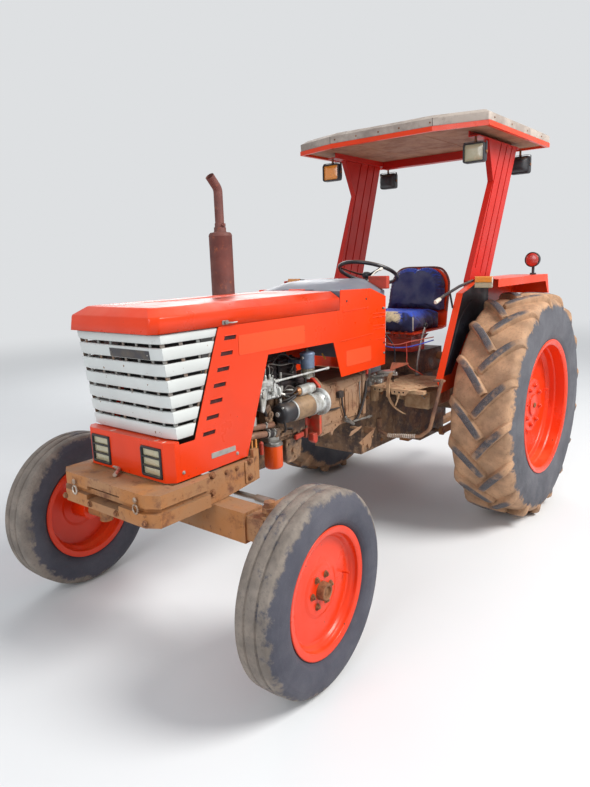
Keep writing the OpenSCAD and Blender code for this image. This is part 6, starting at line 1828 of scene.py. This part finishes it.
def make_floor():
    mesh = bpy.data.meshes.new("studio_floor")
    reach, steps = 60.0, 96
    ring = [(reach * math.cos(i * math.tau / steps), AXLE_Y - 1 + reach * math.sin(i * math.tau / steps), 0.0)
        for i in range(steps)]
    mesh.from_pydata(ring, [], [list(range(steps))])
    floor = bpy.data.objects.new("studio_floor", mesh)
    bpy.context.scene.collection.objects.link(floor)
    floor.location.z = -0.0005
    g = Graph("studio_floor")
    g.finish(g.mix(g.fade(g.noise(0.8, 3), 0.3, 0.7), PAPER, shade(PAPER, 0.985)), 0.75)
    distance = g.nodes.new("ShaderNodeVectorMath")
    distance.operation = "LENGTH"
    g.links.new(g.place, distance.inputs[0])
    far = g.fade(distance.outputs["Value"], 5.0, 16.0)
    glow = g.nodes.new("ShaderNodeEmission")
    glow.inputs["Color"].default_value = PAPER
    joined = g.nodes.new("ShaderNodeMixShader")
    g.links.new(far, joined.inputs[0])
    g.links.new(g.shader.outputs[0], joined.inputs[1])
    g.links.new(glow.outputs[0], joined.inputs[2])
    g.links.new(joined.outputs[0], g.nodes["Material Output"].inputs["Surface"])
    mesh.materials.append(g.material)


def make_world():
    world = bpy.data.worlds.new("studio")
    bpy.context.scene.world = world
    world.use_nodes = True
    nodes, links = world.node_tree.nodes, world.node_tree.links
    sky = nodes["Background"]
    sky.inputs["Color"].default_value = (0.93, 0.96, 1.0, 1.0)
    sky.inputs["Strength"].default_value = 0.42
    seen = nodes.new("ShaderNodeBackground")
    seen.inputs["Color"].default_value = PAPER
    rays = nodes.new("ShaderNodeLightPath")
    pick = nodes.new("ShaderNodeMixShader")
    shown = nodes.new("ShaderNodeMath")
    shown.operation = "MAXIMUM"
    either = nodes.new("ShaderNodeMath")
    either.operation = "MAXIMUM"
    links.new(rays.outputs["Is Camera Ray"], either.inputs[0])
    links.new(rays.outputs["Is Glossy Ray"], either.inputs[1])
    links.new(either.outputs[0], shown.inputs[0])
    links.new(rays.outputs["Is Transmission Ray"], shown.inputs[1])
    links.new(shown.outputs[0], pick.inputs[0])
    links.new(sky.outputs[0], pick.inputs[1])
    links.new(seen.outputs[0], pick.inputs[2])
    links.new(pick.outputs[0], nodes["World Output"].inputs["Surface"])


def soft_light(name, place, target, size, power, colour=(1.0, 1.0, 1.0), sheen=1.0):
    data = bpy.data.lights.new(name, "AREA")
    data.shape = "DISK"
    data.size = size
    data.energy = power
    data.color = colour
    data.specular_factor = sheen
    lamp = bpy.data.objects.new(name, data)
    bpy.context.scene.collection.objects.link(lamp)
    lamp.location = place
    lamp.rotation_euler = (Vector(target) - Vector(place)).to_track_quat("-Z", "Y").to_euler()


# The photograph's camera, solved from the wheels, the bonnet and the ballast
CAMERA_PLACE = at(2.359, -4.371, 1.815)
CAMERA_YAW = math.radians(39.02)
CAMERA_DOWN = math.radians(11.785)
CAMERA_ROLL = math.radians(-1.895)
FOCAL_SHARE = 624.9 / 787
SENSOR = 36.0


def make_camera():
    data = bpy.data.cameras.new("photo_camera")
    camera = bpy.data.objects.new("photo_camera", data)
    bpy.context.scene.collection.objects.link(camera)
    data.sensor_width = SENSOR
    data.lens = SENSOR * FOCAL_SHARE
    data.clip_end = 200.0
    ahead = Vector((-math.sin(CAMERA_YAW) * math.cos(CAMERA_DOWN),
        math.cos(CAMERA_YAW) * math.cos(CAMERA_DOWN), -math.sin(CAMERA_DOWN)))
    level = Vector((math.cos(CAMERA_YAW), math.sin(CAMERA_YAW), 0.0))
    upward = level.cross(ahead)
    right = level * math.cos(CAMERA_ROLL) + upward * math.sin(CAMERA_ROLL)
    top = upward * math.cos(CAMERA_ROLL) - level * math.sin(CAMERA_ROLL)
    turn = Matrix((right, top, -ahead)).transposed()
    camera.matrix_world = Matrix.Translation(CAMERA_PLACE) @ turn.to_4x4()
    bpy.context.scene.camera = camera


make_floor()
make_world()
soft_light("key_light", (6.5, 1.5, 7.0), (0.0, 0.0, 1.0), 4.0, 950.0, (1.0, 0.98, 0.95))
soft_light("fill_light", (1.0, -8.0, 4.5), (0.0, 0.0, 1.0), 5.0, 250.0, (0.95, 0.97, 1.0))
soft_light("rear_light", (-6.0, 5.0, 5.0), (0.0, 0.0, 1.0), 5.0, 240.0, sheen=0.12)
make_camera()
bpy.context.scene.view_settings.view_transform = "Standard"

for part in frame["record"]["subparts"]:
    name = part["node"]
    bevel = frame["nodes"][name].modifiers.new("Edges", "BEVEL")
    bevel.width, bevel.segments = (0.009, 4) if name == "dash_cowl" else (0.0016, 2)
    bevel.limit_method, bevel.angle_limit = "ANGLE", math.radians(40)
    bevel.harden_normals = True
